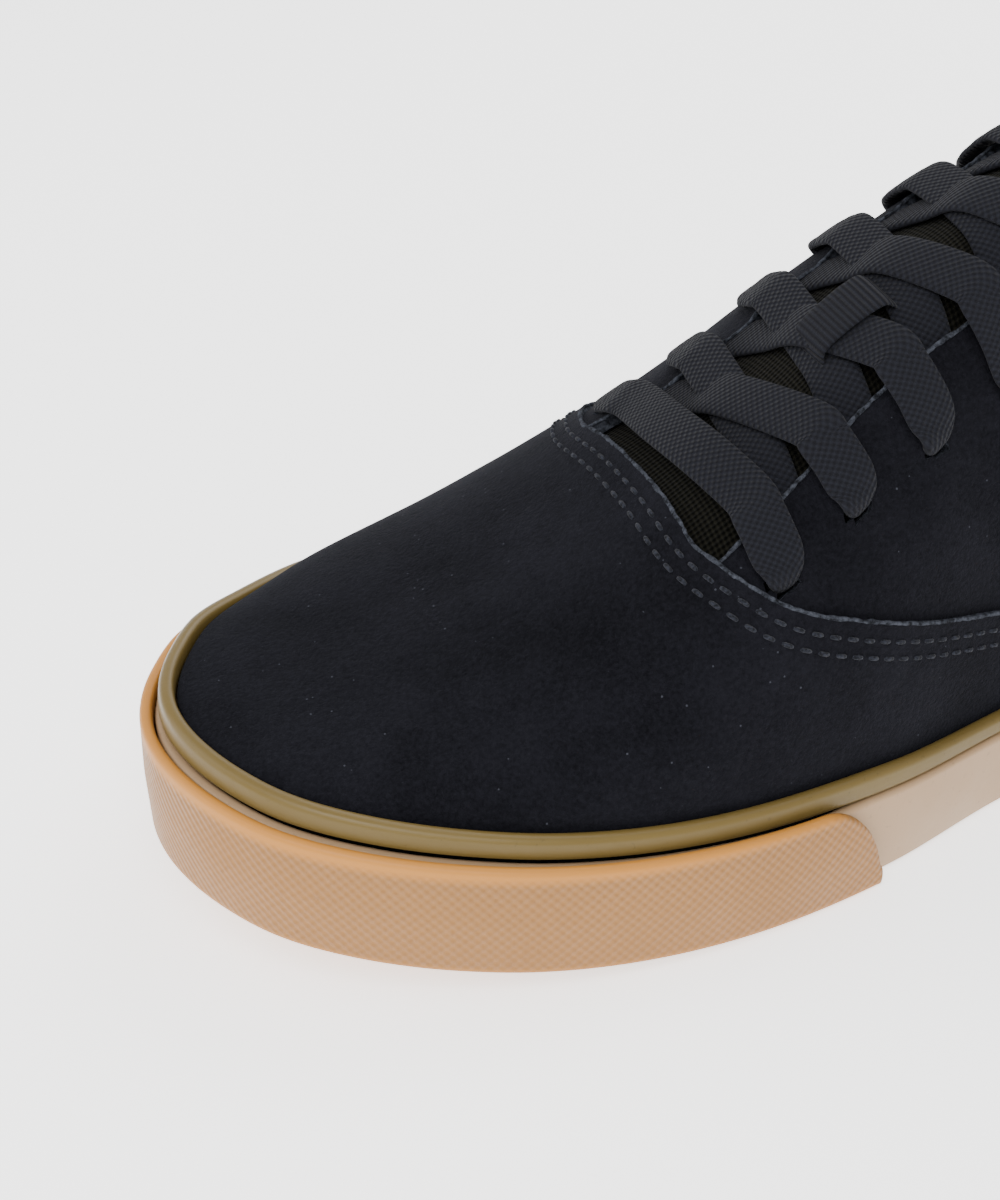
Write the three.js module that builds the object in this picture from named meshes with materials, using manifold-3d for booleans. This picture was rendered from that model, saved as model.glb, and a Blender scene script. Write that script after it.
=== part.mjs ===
// A low skateboarding shoe for the right foot: suede upper, canvas tongue, flat laces and a taped gum sole.
// Millimetres. +X is the toe, +Y the wearer's left (the medial side), +Z up. The floor is z = 0.
import * as THREE from 'three';
import { mergeVertices } from 'three/addons/utils/BufferGeometryUtils.js';
import Module from 'manifold-3d';

const wasm = await Module();
wasm.setup();

// Driving dimensions
const LENGTH = 296;
const BALL_WIDTH = 100;
const TOE_SPRING = 10;
const ARCH_RISE = 1.2;
const INSTEP_HEIGHT = 111.6;
const COLLAR_HEIGHT = 80;
const CLEARANCE = 0.3;

// Rubber side: two stacked tapes and a toe bumper outside the lower one
const BUMPER_THICKNESS = 1.9;
const BUMPER_BULGE = 0.3;
const BUMPER_HEIGHT = 19.5;
const BUMPER_LIFT = 0.5;
const BUMPER_EVENNESS = 0.5;
const TAPE_THICKNESS = 2.0;
const TAPE_HEIGHT = 19.2;
const STRIP_HEIGHT = 23.6;
const STRIP_STEP = 0.6;
const STRIP_THICKNESS = 2.6;
const STRIP_LEAN = 0.5;
const TAPE_LIFT = 0.8;
const EDGE_BEVEL = 0.8;
const FOREFOOT_PLATE = 9;
const HEEL_PLATE = 14;
const BUMPER_END_MEDIAL = 0.657;
const BUMPER_END_LATERAL = 0.665;
const BUMPER_END_LENGTH = 0.04;
const BUMPER_END_SQUARE = 0.1;

// Tread
const GROOVE_DEPTH = 1.8;
const GROOVE_WIDTH = 2.2;
const GROOVE_PITCH = 13;
const GROOVE_MARGIN = 7;
const GROOVE_ZIGZAG = 5;

// Upper
const WALL = 1.9;
const VAMP_STEP = 1.0;
const VAMP_TIP = 0.36;
const VAMP_BLEND = 0.06;
const ARC_START = 1.5;
const THROAT_BASE = 0.737;
const THROAT_TOP = 0.37;
const HEEL_BULGE = 2.2;
const EYELET_RADIUS = 2.1;
const EYELET_ROWS = 7;
const BACKSTAY_WIDTH = 26;
const BACKSTAY_THICKNESS = 1.1;
const BACKSTAY_MARGIN = 1;

// Tongue, insole and laces
const TONGUE_BASE_THICKNESS = 2.6;
const TONGUE_TOP_THICKNESS = 7;
const TONGUE_EDGE_THINNING = 0.55;
const TONGUE_SINK = 0.8;
const TONGUE_START = 0.775;
const TONGUE_END = 0.315;
const TONGUE_OVERLAP = 7;
const TONGUE_FIT = 0.93;
const TONGUE_TOP_FLARE = 6;
const INSOLE_THICKNESS = 4;
const LACE_WIDTH = 7.2;
const LACE_THICKNESS = 1.3;
const LACE_HOVER = 0.6;
const LACE_SETOFF = 5.8;
const LACE_TUCK = 1;
const LACE_TURN = 1.5;
const LACE_LANDING = 2.3;
const KEEPER_WIDTH = 7;
const KEEPER_LENGTH = 0.0435 * LENGTH;
const KEEPER_RAMP = 0.9;
const KEEPER_FORWARD = 0.7;
const KEEPER_THICKNESS = 0.9;
const KEEPER_ROW = 2;

// Sampling
const AROUND = 42;
const EYELET_SIDES = 10;
const INSOLE_STATIONS = 24;
const BUMPER_STEPS = 36;
const BUMPER_END_STEPS = 4;
const STATIONS = 42;
const ARC_STEPS = 8;
const VAMP_EDGE_STEPS = 24;
const COLLAR_STEPS = 32;

// Plan outline of the outsole at the bumper's face: shares of the length and of the ball width
const OUTLINE = [
  { along: 0.000, medial: 0.000, lateral: 0.000 },
  { along: 0.051, medial: 0.313, lateral: 0.320 },
  { along: 0.152, medial: 0.361, lateral: 0.371 },
  { along: 0.253, medial: 0.347, lateral: 0.375 },
  { along: 0.355, medial: 0.312, lateral: 0.388 },
  { along: 0.456, medial: 0.312, lateral: 0.428 },
  { along: 0.557, medial: 0.370, lateral: 0.470 },
  { along: 0.642, medial: 0.445, lateral: 0.490 },
  { along: 0.743, medial: 0.494, lateral: 0.488 },
  { along: 0.845, medial: 0.477, lateral: 0.438 },
  { along: 0.885, medial: 0.444, lateral: 0.390 },
  { along: 0.929, medial: 0.386, lateral: 0.304 },
  { along: 0.963, medial: 0.313, lateral: 0.216 },
  { along: 0.983, medial: 0.234, lateral: 0.120 },
  { along: 0.995, medial: 0.155, lateral: 0.034 },
  { along: 1.000, medial: 0.062, lateral: -0.062 },
];

// Tops of the lower tape and of the upper strip above the ground line: shares of their heights at the toe
const SIDE_HEIGHTS = [
  { along: 0.00, tape: 1.04, strip: 1.12 },
  { along: 0.20, tape: 0.96, strip: 1.02 },
  { along: 0.46, tape: 0.77, strip: 0.78 },
  { along: 0.57, tape: 0.76, strip: 0.75 },
  { along: 0.68, tape: 0.84, strip: 0.86 },
  { along: 0.78, tape: 0.92, strip: 0.91 },
  { along: 0.88, tape: 0.98, strip: 0.96 },
  { along: 1.00, tape: 1.00, strip: 1.00 },
];

// Centre line of the last over the top: share of the length, height as a share of the instep's,
// sideways place as a share of the ball width, positive to the medial side. Over the collar it is imagined.
const RIDGE = [
  { along: 0.010, height: 0.700, side: 0.000 },
  { along: 0.022, height: 0.760, side: 0.000 },
  { along: 0.034, height: 0.930, side: 0.000 },
  { along: 0.080, height: 1.060, side: 0.000 },
  { along: 0.200, height: 1.110, side: 0.010 },
  { along: 0.310, height: 1.090, side: 0.020 },
  { along: 0.402, height: 1.000, side: 0.029 },
  { along: 0.537, height: 0.851, side: 0.029 },
  { along: 0.615, height: 0.740, side: 0.048 },
  { along: 0.689, height: 0.595, side: 0.065 },
  { along: 0.807, height: 0.398, side: 0.020 },
  { along: 0.892, height: 0.322, side: -0.015 },
  { along: 0.960, height: 0.294, side: 0.020 },
  { along: 0.981, height: 0.283, side: 0.055 },
];

// How far the sides swell past the sole's line above it: shares of the ball width
const BELLY = [
  { along: 0.00, medial: 0.000, lateral: 0.000 },
  { along: 0.15, medial: 0.010, lateral: 0.010 },
  { along: 0.35, medial: 0.050, lateral: 0.015 },
  { along: 0.48, medial: 0.065, lateral: 0.015 },
  { along: 0.60, medial: 0.020, lateral: 0.005 },
  { along: 0.72, medial: 0.000, lateral: 0.000 },
  { along: 1.00, medial: 0.000, lateral: 0.000 },
];

// Half gap of the throat behind its base: share of the throat's length, gap as a share of the ball width
const THROAT = [
  { back: 0.00, gap: 0.217 },
  { back: 0.12, gap: 0.178 },
  { back: 0.46, gap: 0.143 },
  { back: 0.80, gap: 0.143 },
  { back: 1.00, gap: 0.155 },
];

// Rows of eyelets: where they start and end as shares of the throat edge's length, and their distance from it
const EYELET_LINES = {
  medial: { first: 0.104, last: 0.905, setback: 7 },
  lateral: { first: 0.066, last: 0.77, setback: 6.3 },
};

// Collar line in side view: share of the length, height as a share of the collar's at the back
const COLLAR = [
  { along: 0.385, height: 1.48 },
  { along: 0.368, height: 1.25 },
  { along: 0.330, height: 1.02 },
  { along: 0.275, height: 0.86 },
  { along: 0.210, height: 0.80 },
  { along: 0.145, height: 0.83 },
  { along: 0.085, height: 0.93 },
  { along: 0.040, height: 1.00 },
  { along: -0.020, height: 1.01 },
];

// The vamp's rear edge in side view, from the throat's corner down to the strip
const VAMP_EDGE = [
  { along: 0.737, height: 0.480 },
  { along: 0.703, height: 0.428 },
  { along: 0.672, height: 0.400 },
  { along: 0.607, height: 0.345 },
  { along: 0.540, height: 0.300 },
  { along: 0.470, height: 0.245 },
  { along: 0.420, height: 0.150 },
];

// A place along the shoe as a turn from heel (0) to toe (1), which makes both ends round
const turnAt = (along) => Math.acos(THREE.MathUtils.clamp(1 - 2 * along, -1, 1)) / Math.PI;
const alongAt = (turn) => (1 - Math.cos(Math.PI * turn)) / 2;

// Smooth curve through a table's column, against its key column or that column's turn
function curve(rows, key, column, place = (value) => value) {
  const knots = rows.map((row) => place(row[key]));
  const values = rows.map((row) => row[column]);
  const last = knots.length - 1;
  const slope = (i) => (values[i + 1] - values[i]) / (knots[i + 1] - knots[i]);
  const tangents = values.map((_, i) => {
    if (i === 0) return slope(0);
    if (i === last) return slope(last - 1);
    const before = knots[i] - knots[i - 1];
    const after = knots[i + 1] - knots[i];
    return (slope(i - 1) * after + slope(i) * before) / (before + after);
  });
  return (at) => {
    const x = THREE.MathUtils.clamp(place(at), knots[0], knots[last]);
    let i = 0;
    while (i < last - 1 && x > knots[i + 1]) i += 1;
    const span = knots[i + 1] - knots[i];
    const t = (x - knots[i]) / span;
    const rise = values[i + 1] - values[i];
    const bend = (1 - t) * (tangents[i] * span - rise) - t * (tangents[i + 1] * span - rise);
    return values[i] + t * rise + t * (1 - t) * bend;
  };
}

const medialShare = curve(OUTLINE, 'along', 'medial', turnAt);
const lateralShare = curve(OUTLINE, 'along', 'lateral', turnAt);
const tapeShare = curve(SIDE_HEIGHTS, 'along', 'tape');
const stripShare = curve(SIDE_HEIGHTS, 'along', 'strip');
const ridgeShare = curve(RIDGE, 'along', 'height', turnAt);
const ridgeSideShare = curve(RIDGE, 'along', 'side', turnAt);
const gapShare = curve(THROAT, 'back', 'gap');
const medialBelly = curve(BELLY, 'along', 'medial');
const lateralBelly = curve(BELLY, 'along', 'lateral');

// Ground line: flat under heel and ball, a low arch between them, and the toe spring
const SPRING_START = 0.62;
const SPRING_POWER = 2.2;
const ARCH_START = 0.3;
const ARCH_END = 0.5;
const PLATE_BLEND_START = 0.2;
const PLATE_BLEND_END = 0.6;
function ground(along) {
  const rise = Math.max(0, (along - SPRING_START) / (1 - SPRING_START));
  const arch = THREE.MathUtils.clamp((along - ARCH_START) / (ARCH_END - ARCH_START), 0, 1);
  return TOE_SPRING * rise ** SPRING_POWER + ARCH_RISE * Math.sin(Math.PI * arch) ** 2;
}
const tapeTop = (along) => ground(along) + TAPE_HEIGHT * tapeShare(along);
const stripTop = (along) => ground(along) + STRIP_HEIGHT * stripShare(along);
function plateTop(along) {
  const forward = THREE.MathUtils.smoothstep(along, PLATE_BLEND_START, PLATE_BLEND_END);
  return ground(along) + THREE.MathUtils.lerp(HEEL_PLATE, FOREFOOT_PLATE, forward);
}

// Plan outline walked by one number: 0 at the heel, 1 at the toe on the medial side, 2 back at the heel
const WALK_STEP = 1e-4;
function outlinePoint(walk) {
  const medial = walk < 1;
  const along = alongAt(medial ? walk : 2 - walk);
  const across = medial ? medialShare(along) : -lateralShare(along);
  return new THREE.Vector2(LENGTH * along, BALL_WIDTH * across);
}
function outlineAt(walk) {
  const before = outlinePoint((walk - WALK_STEP + 2) % 2);
  const after = outlinePoint((walk + WALK_STEP) % 2);
  const tangent = after.sub(before).normalize();
  const point = outlinePoint(walk);
  return {
    point,
    normal: new THREE.Vector2(-tangent.y, tangent.x),
    along: point.x / LENGTH,
    medial: walk < 1,
  };
}
const walkAround = (from, to, steps) => Array.from(
  { length: steps },
  (_, i) => outlineAt(THREE.MathUtils.lerp(from, to, i / steps)),
);

// Outline moved inwards, as two sides that can be read at any place
const FINE = 400;
function insetSides(inset) {
  const samples = walkAround(0, 2, 2 * FINE);
  const moved = samples.map(({ point, normal }) => point.clone().addScaledVector(normal, -inset));
  const medial = moved.slice(0, FINE + 1);
  const lateral = [moved[0], ...moved.slice(FINE).reverse()];
  const order = (side) => side.reduce((kept, point) => {
    if (!kept.length || point.x > kept[kept.length - 1].x) kept.push(point);
    return kept;
  }, []);
  const read = (side) => (x) => {
    let low = 0;
    let high = side.length - 1;
    while (high - low > 1) {
      const middle = (low + high) >> 1;
      if (side[middle].x > x) high = middle;
      else low = middle;
    }
    const share = THREE.MathUtils.clamp((x - side[low].x) / (side[high].x - side[low].x), 0, 1);
    return THREE.MathUtils.lerp(side[low].y, side[high].y, share);
  };
  const medialSide = order(medial);
  const lateralSide = order(lateral);
  return {
    heel: medialSide[0].x,
    toe: medialSide[medialSide.length - 1].x,
    medial: read(medialSide),
    lateral: read(lateralSide),
  };
}

// Closed body from rows of points: every row is a closed loop, and both ends are capped or shrink to a line
function loft(rows, capped) {
  const count = rows[0].length;
  const positions = rows.flat().flatMap((point) => [point.x, point.y, point.z]);
  const faces = [];
  for (let i = 0; i < rows.length - 1; i += 1) {
    for (let j = 0; j < count; j += 1) {
      const a = i * count + j;
      const b = i * count + (j + 1) % count;
      faces.push(a, b, b + count, a, b + count, a + count);
    }
  }
  if (capped) {
    const end = (rows.length - 1) * count;
    const turn = Math.sign(THREE.ShapeUtils.area(capped));
    THREE.ShapeUtils.triangulateShape(capped, []).forEach(([a, b, c]) => {
      const same = Math.sign(THREE.ShapeUtils.area([capped[a], capped[b], capped[c]])) === turn;
      const [next, after] = same ? [b, c] : [c, b];
      faces.push(a, after, next, end + a, end + next, end + after);
    });
  }
  return solidFrom(positions, faces);
}

// Merges shared corners, drops faces of no width and makes the body's faces point out
const MERGE_DISTANCE = 1e-4;
function solidFrom(positions, faces) {
  const raw = new THREE.BufferGeometry();
  raw.setAttribute('position', new THREE.Float32BufferAttribute(positions, 3));
  raw.setIndex(faces);
  return solidOf(raw);
}

function solidOf(raw) {
  raw.deleteAttribute('normal');
  raw.deleteAttribute('uv');
  const merged = mergeVertices(raw, MERGE_DISTANCE);
  const place = merged.getAttribute('position');
  const index = merged.getIndex().array;
  const kept = [];
  for (let i = 0; i < index.length; i += 3) {
    const [a, b, c] = index.slice(i, i + 3);
    if (a !== b && b !== c && a !== c) kept.push(a, b, c);
  }
  const corner = (i) => new THREE.Vector3().fromBufferAttribute(place, i);
  let volume = 0;
  for (let i = 0; i < kept.length; i += 3) {
    volume += corner(kept[i]).dot(corner(kept[i + 1]).cross(corner(kept[i + 2])));
  }
  if (volume < 0) {
    for (let i = 0; i < kept.length; i += 3) [kept[i], kept[i + 1]] = [kept[i + 1], kept[i]];
  }
  return new wasm.Manifold(new wasm.Mesh({
    numProp: 3,
    vertProperties: new Float32Array(place.array),
    triVerts: new Uint32Array(kept),
  }));
}

// Ring that follows the outline: each section row gives an inset and a height at a place along the shoe
function band(section, samples, closed) {
  const rows = samples.map((sample) => section(sample).map(({ inset, z }) => {
    const place = sample.point.clone().addScaledVector(sample.normal, -inset);
    return new THREE.Vector3(place.x, place.y, z);
  }));
  if (closed) return loft([...rows, rows[0]]);
  const cap = section(samples[0]).map(({ inset, z }) => new THREE.Vector2(inset, z));
  return loft(rows, cap);
}

const outline = walkAround(0, 2, 2 * AROUND);

// Insets of the layers of the sole's side, from the bumper's face inwards
const TAPE_OUT = BUMPER_THICKNESS + CLEARANCE;
const TAPE_IN = TAPE_OUT + TAPE_THICKNESS;
const PLATE_OUT = TAPE_IN + CLEARANCE;
const STRIP_OUT = TAPE_OUT + STRIP_STEP;
const STRIP_IN = STRIP_OUT + STRIP_THICKNESS;
const VAMP_OUT = STRIP_IN + CLEARANCE;
const QUARTER_OUT = VAMP_OUT + VAMP_STEP;

// Lower tape, all the way round
function lowerTape() {
  return band(({ along }) => {
    const low = ground(along) + TAPE_LIFT;
    const top = tapeTop(along);
    return [
      { inset: TAPE_OUT + EDGE_BEVEL, z: low },
      { inset: TAPE_OUT, z: low + EDGE_BEVEL },
      { inset: TAPE_OUT, z: top - EDGE_BEVEL / 2 },
      { inset: TAPE_OUT + EDGE_BEVEL / 2, z: top },
      { inset: TAPE_IN, z: top },
      { inset: TAPE_IN, z: low },
    ];
  }, outline, true);
}

// Upper strip, stepped in above the lower tape, thicker where the quarters have no vamp over them
function upperStrip() {
  return band(({ along }) => {
    const low = tapeTop(along) + CLEARANCE;
    const top = stripTop(along);
    const vamp = THREE.MathUtils.smoothstep(along, VAMP_TIP, VAMP_TIP + VAMP_BLEND);
    const inner = STRIP_IN + VAMP_STEP * (1 - vamp);
    return [
      { inset: STRIP_OUT, z: low },
      { inset: STRIP_OUT + STRIP_LEAN, z: top - EDGE_BEVEL },
      { inset: STRIP_OUT + STRIP_LEAN + EDGE_BEVEL, z: top },
      { inset: inner, z: top },
      { inset: inner, z: low },
    ];
  }, outline, true);
}

// Toe bumper over the lower tape, from the medial ball round the toe, with ends that round down
function toeBumper() {
  const end = (medial) => (medial ? BUMPER_END_MEDIAL : BUMPER_END_LATERAL);
  const start = turnAt(BUMPER_END_MEDIAL);
  const finish = 2 - turnAt(BUMPER_END_LATERAL);
  const round = turnAt(BUMPER_END_MEDIAL + BUMPER_END_LENGTH) - start;
  const samples = [
    ...walkAround(start, start + round, BUMPER_END_STEPS),
    ...walkAround(start + round, finish - round, BUMPER_STEPS),
    ...walkAround(finish - round, finish, BUMPER_END_STEPS),
    outlineAt(finish),
  ];
  return band(({ along, medial }) => {
    const low = ground(along) + BUMPER_LIFT;
    const full = BUMPER_HEIGHT * THREE.MathUtils.lerp(tapeShare(along), 1, BUMPER_EVENNESS);
    const fall = THREE.MathUtils.clamp((along - end(medial)) / BUMPER_END_LENGTH, 0, 1);
    const height = full * Math.sqrt(1 - (1 - Math.max(fall, BUMPER_END_SQUARE)) ** 2);
    const top = ground(along) + height;
    return [
      { inset: EDGE_BEVEL, z: low },
      { inset: 0, z: low + EDGE_BEVEL },
      { inset: -BUMPER_BULGE, z: (low + top) / 2 },
      { inset: 0, z: top - EDGE_BEVEL },
      { inset: EDGE_BEVEL, z: top },
      { inset: BUMPER_THICKNESS, z: top },
      { inset: BUMPER_THICKNESS, z: low },
    ];
  }, samples, false);
}

// Rows of a plate inside the outline, between two heights, as loops across the shoe
function plate(inset, low, high, stations) {
  const sides = insetSides(inset);
  const rows = [];
  for (let i = 0; i <= stations; i += 1) {
    const x = THREE.MathUtils.lerp(sides.heel, sides.toe, alongAt(i / stations));
    const along = x / LENGTH;
    const ends = i === 0 || i === stations;
    const middle = (sides.medial(x) + sides.lateral(x)) / 2;
    const medial = ends ? middle : sides.medial(x);
    const lateral = ends ? middle : sides.lateral(x);
    rows.push([
      new THREE.Vector3(x, lateral, low(along)),
      new THREE.Vector3(x, medial, low(along)),
      new THREE.Vector3(x, medial, high(along)),
      new THREE.Vector3(x, lateral, high(along)),
    ]);
  }
  return loft(rows);
}

// Outsole: plate inside the tapes, with zigzag grooves cut across heel and forefoot
function outsole() {
  let body = plate(PLATE_OUT, ground, plateTop, STATIONS);
  const sides = insetSides(PLATE_OUT);
  const runs = [
    { from: 0.05, to: 0.27 },
    { from: 0.53, to: 0.93 },
  ];
  runs.forEach(({ from, to }) => {
    const count = Math.round(((to - from) * LENGTH) / GROOVE_PITCH);
    for (let i = 0; i <= count; i += 1) {
      const x = LENGTH * THREE.MathUtils.lerp(from, to, i / count);
      const top = ground(x / LENGTH) + GROOVE_DEPTH;
      const left = sides.medial(x) - GROOVE_MARGIN;
      const right = sides.lateral(x) + GROOVE_MARGIN;
      const middle = (left + right) / 2;
      const shape = new THREE.Shape([
        new THREE.Vector2(x - GROOVE_WIDTH, left),
        new THREE.Vector2(x - GROOVE_WIDTH - GROOVE_ZIGZAG, middle),
        new THREE.Vector2(x - GROOVE_WIDTH, right),
        new THREE.Vector2(x, right),
        new THREE.Vector2(x - GROOVE_ZIGZAG, middle),
        new THREE.Vector2(x, left),
      ]);
      const cut = new THREE.ExtrudeGeometry(shape, { depth: top + GROOVE_DEPTH, bevelEnabled: false });
      cut.translate(0, 0, -GROOVE_DEPTH);
      body = body.subtract(solidOf(cut));
    }
  });
  return body;
}

// Squareness of the upper's sections: fuller at the toe, leaner at the instep
const TOE_ROUNDNESS = 2.25;
const INSTEP_ROUNDNESS = 1.9;
const INSTEP_PLACE = 0.51;
const TOE_PLACE = 0.78;
const roundness = (along) => 2 / THREE.MathUtils.lerp(
  INSTEP_ROUNDNESS,
  TOE_ROUNDNESS,
  THREE.MathUtils.clamp((along - INSTEP_PLACE) / (TOE_PLACE - INSTEP_PLACE), 0, 1),
);

// How far the back of the heel stands out at a height: nothing at the sole and collar, most between them
const HEEL_REACH = 0.12;
const HEEL_TOP = 1.2;
function heelShift(along, z) {
  const near = THREE.MathUtils.clamp(1 - along / HEEL_REACH, 0, 1);
  const base = stripTop(along);
  const up = THREE.MathUtils.clamp((z - base) / (COLLAR_HEIGHT - base), 0, HEEL_TOP);
  return near * HEEL_BULGE * 4 * up * (1 - up);
}

// Place across a section at an angle from the sole's line (0) to the ridge (a quarter turn)
const BELLY_ANGLE = 0.7;
function reachAt(section, medial, angle) {
  const half = medial ? section.medial - section.side : section.side - section.lateral;
  const belly = medial ? section.medialBelly : section.lateralBelly;
  const swell = belly * Math.sin(Math.min(angle / BELLY_ANGLE, 1) * Math.PI / 2) ** 2;
  return (half + swell) * Math.cos(angle) ** section.power;
}
const riseAt = (section, angle) => section.base
  + (section.ridge - section.base) * Math.sin(angle) ** section.power;

// The last's form, grown by a distance over the quarters' surface
const HALVINGS = 40;
function form(grow) {
  const sides = insetSides(QUARTER_OUT - grow);
  const place = (x) => {
    const along = x / LENGTH;
    const base = stripTop(along) - ARC_START;
    const ridge = Math.max(base + CLEARANCE, INSTEP_HEIGHT * ridgeShare(along) - VAMP_STEP + grow);
    return {
      along,
      base,
      ridge,
      side: BALL_WIDTH * ridgeSideShare(along),
      medial: sides.medial(x),
      lateral: sides.lateral(x),
      medialBelly: BALL_WIDTH * medialBelly(along),
      lateralBelly: BALL_WIDTH * lateralBelly(along),
      power: roundness(along),
    };
  };
  const height = (x, y) => {
    const section = place(x);
    const medial = y > section.side;
    const wanted = Math.abs(y - section.side);
    let low = 0;
    let high = Math.PI / 2;
    for (let i = 0; i < HALVINGS; i += 1) {
      const middle = (low + high) / 2;
      if (reachAt(section, medial, middle) > wanted) low = middle;
      else high = middle;
    }
    return riseAt(section, (low + high) / 2);
  };
  return { sides, place, height };
}

// Closed body of a form from a floor line up to the ridge
function formSolid(grow, floor) {
  const { sides, place } = form(grow);
  const rows = [];
  for (let i = 0; i <= STATIONS; i += 1) {
    const x = THREE.MathUtils.lerp(sides.heel, sides.toe, alongAt(i / STATIONS));
    const s = place(x);
    const ends = i === 0 || i === STATIONS;
    const middle = (s.medial + s.lateral) / 2;
    const row = [new THREE.Vector3(x, ends ? middle : s.lateral, floor(s.along))];
    for (let j = 0; j <= 2 * ARC_STEPS; j += 1) {
      const medialHalf = j > ARC_STEPS;
      const angle = (Math.PI / 2) * (1 - Math.abs(j / ARC_STEPS - 1));
      const reach = (medialHalf ? 1 : -1) * reachAt(s, medialHalf, angle);
      const z = ends ? s.base : riseAt(s, angle);
      row.push(new THREE.Vector3(x - heelShift(s.along, z), ends ? middle : s.side + reach, z));
    }
    row.push(new THREE.Vector3(x, ends ? middle : s.medial, floor(s.along)));
    rows.push(row);
  }
  return loft(rows);
}

// Prism through the whole width from a side view shape
const BEYOND = 90;
const BELOW = -1;
function sideCutter(points) {
  const shape = new THREE.Shape(points.map(([x, z]) => new THREE.Vector2(x, z)));
  const geometry = new THREE.ExtrudeGeometry(shape, { depth: 2 * BEYOND, bevelEnabled: false });
  geometry.rotateX(Math.PI / 2);
  geometry.translate(0, BEYOND, 0);
  return solidOf(geometry);
}

// Smooth run of points through a table with two columns
function smoothRun(rows, scaleX, scaleZ, steps) {
  const path = new THREE.CatmullRomCurve3(
    rows.map(({ along, height }) => new THREE.Vector3(along * scaleX, height * scaleZ, 0)),
    false,
    'centripetal',
  );
  return path.getPoints(steps).map(({ x, y }) => [x, y]);
}

const quarters = form(0);
const THROAT_START_X = THROAT_BASE * LENGTH;
const THROAT_END_X = THROAT_TOP * LENGTH;
const throatGap = (x) => BALL_WIDTH * gapShare((THROAT_START_X - x) / (THROAT_START_X - THROAT_END_X));
const ridgeY = (x) => BALL_WIDTH * ridgeSideShare(x / LENGTH);

// Throat: a plan shape cut straight down between the two flaps
const THROAT_STEPS = 14;
const CORNER_ROUND = 2.5;
const THROAT_RUN_ON = 15;
const THROAT_FLOOR = 21;
function throatCutter() {
  const medial = [];
  const lateral = [];
  const start = THROAT_START_X - CORNER_ROUND;
  const end = THROAT_END_X - THROAT_RUN_ON;
  for (let i = 0; i <= THROAT_STEPS; i += 1) {
    const x = THREE.MathUtils.lerp(start, end, i / THROAT_STEPS);
    medial.push(new THREE.Vector2(x, ridgeY(x) + throatGap(x)));
    lateral.push(new THREE.Vector2(x, ridgeY(x) - throatGap(x)));
  }
  const base = ridgeY(THROAT_START_X);
  const half = throatGap(THROAT_START_X) - CORNER_ROUND;
  const shape = new THREE.Shape([
    new THREE.Vector2(THROAT_START_X, base - half),
    new THREE.Vector2(THROAT_START_X, base + half),
    ...medial,
    ...lateral.reverse(),
  ]);
  const geometry = new THREE.ExtrudeGeometry(shape, { depth: 2 * BEYOND, bevelEnabled: false });
  geometry.translate(0, 0, THROAT_FLOOR);
  return solidOf(geometry);
}

// Places of the eyelets on one side, evenly along the throat's edge
const EDGE_STEPS = 240;
const lineOf = (sign) => (sign > 0 ? EYELET_LINES.medial : EYELET_LINES.lateral);
function eyelets(sign) {
  const { first, last, setback } = lineOf(sign);
  const edge = [];
  for (let i = 0; i <= EDGE_STEPS; i += 1) {
    const x = THREE.MathUtils.lerp(THROAT_START_X, THROAT_END_X, i / EDGE_STEPS);
    const y = ridgeY(x) + sign * throatGap(x);
    edge.push(new THREE.Vector3(x, y, quarters.height(x, y)));
  }
  const path = new THREE.CatmullRomCurve3(edge);
  path.arcLengthDivisions = EDGE_STEPS;
  return Array.from({ length: EYELET_ROWS }, (_, row) => {
    const { x, y } = path.getPointAt(THREE.MathUtils.lerp(first, last, row / (EYELET_ROWS - 1)));
    const away = y + sign * setback;
    return new THREE.Vector3(x, away, quarters.height(x, away));
  });
}

// Upward normal of a form's surface
const NORMAL_REACH = 1.5;
function normalOf(surface, x, y) {
  const slope = (stepX, stepY) => (surface.height(x + stepX, y + stepY) - surface.height(x - stepX, y - stepY))
    / (2 * NORMAL_REACH);
  const alongSlope = slope(NORMAL_REACH, 0);
  const acrossSlope = slope(0, NORMAL_REACH);
  return new THREE.Vector3(-alongSlope, -acrossSlope, 1).normalize();
}

function upper() {
  const stand = (along) => plateTop(along) + CLEARANCE;
  const under = (along) => plateTop(along) - INSOLE_THICKNESS;
  const edge = smoothRun(VAMP_EDGE, LENGTH, INSTEP_HEIGHT, VAMP_EDGE_STEPS);
  const [, cornerZ] = edge[0];
  const vampRegion = sideCutter([
    ...edge,
    [edge[edge.length - 1][0], BELOW],
    [LENGTH + BEYOND, BELOW],
    [LENGTH + BEYOND, 2 * cornerZ],
    [THROAT_START_X, 2 * cornerZ],
  ]);
  const vamp = formSolid(VAMP_STEP, stand).intersect(vampRegion);
  const collar = smoothRun(COLLAR, LENGTH, COLLAR_HEIGHT, COLLAR_STEPS);
  const [firstX] = collar[0];
  const [lastX] = collar[collar.length - 1];
  const top = 3 * COLLAR_HEIGHT;
  const collarCutter = sideCutter([...collar, [lastX - BEYOND, top], [firstX, top]]);
  let shell = formSolid(0, stand).add(vamp).subtract(formSolid(-WALL, under));
  shell = shell.subtract(throatCutter()).subtract(collarCutter);
  [1, -1].forEach((sign) => eyelets(sign).forEach((place) => {
    const hole = new THREE.CylinderGeometry(EYELET_RADIUS, EYELET_RADIUS, 4 * WALL, EYELET_SIDES);
    const turn = new THREE.Quaternion().setFromUnitVectors(
      new THREE.Vector3(0, 1, 0),
      normalOf(quarters, place.x, place.y),
    );
    hole.applyQuaternion(turn);
    hole.translate(place.x, place.y, place.z);
    shell = shell.subtract(solidOf(hole));
  }));
  return shell;
}

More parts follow.
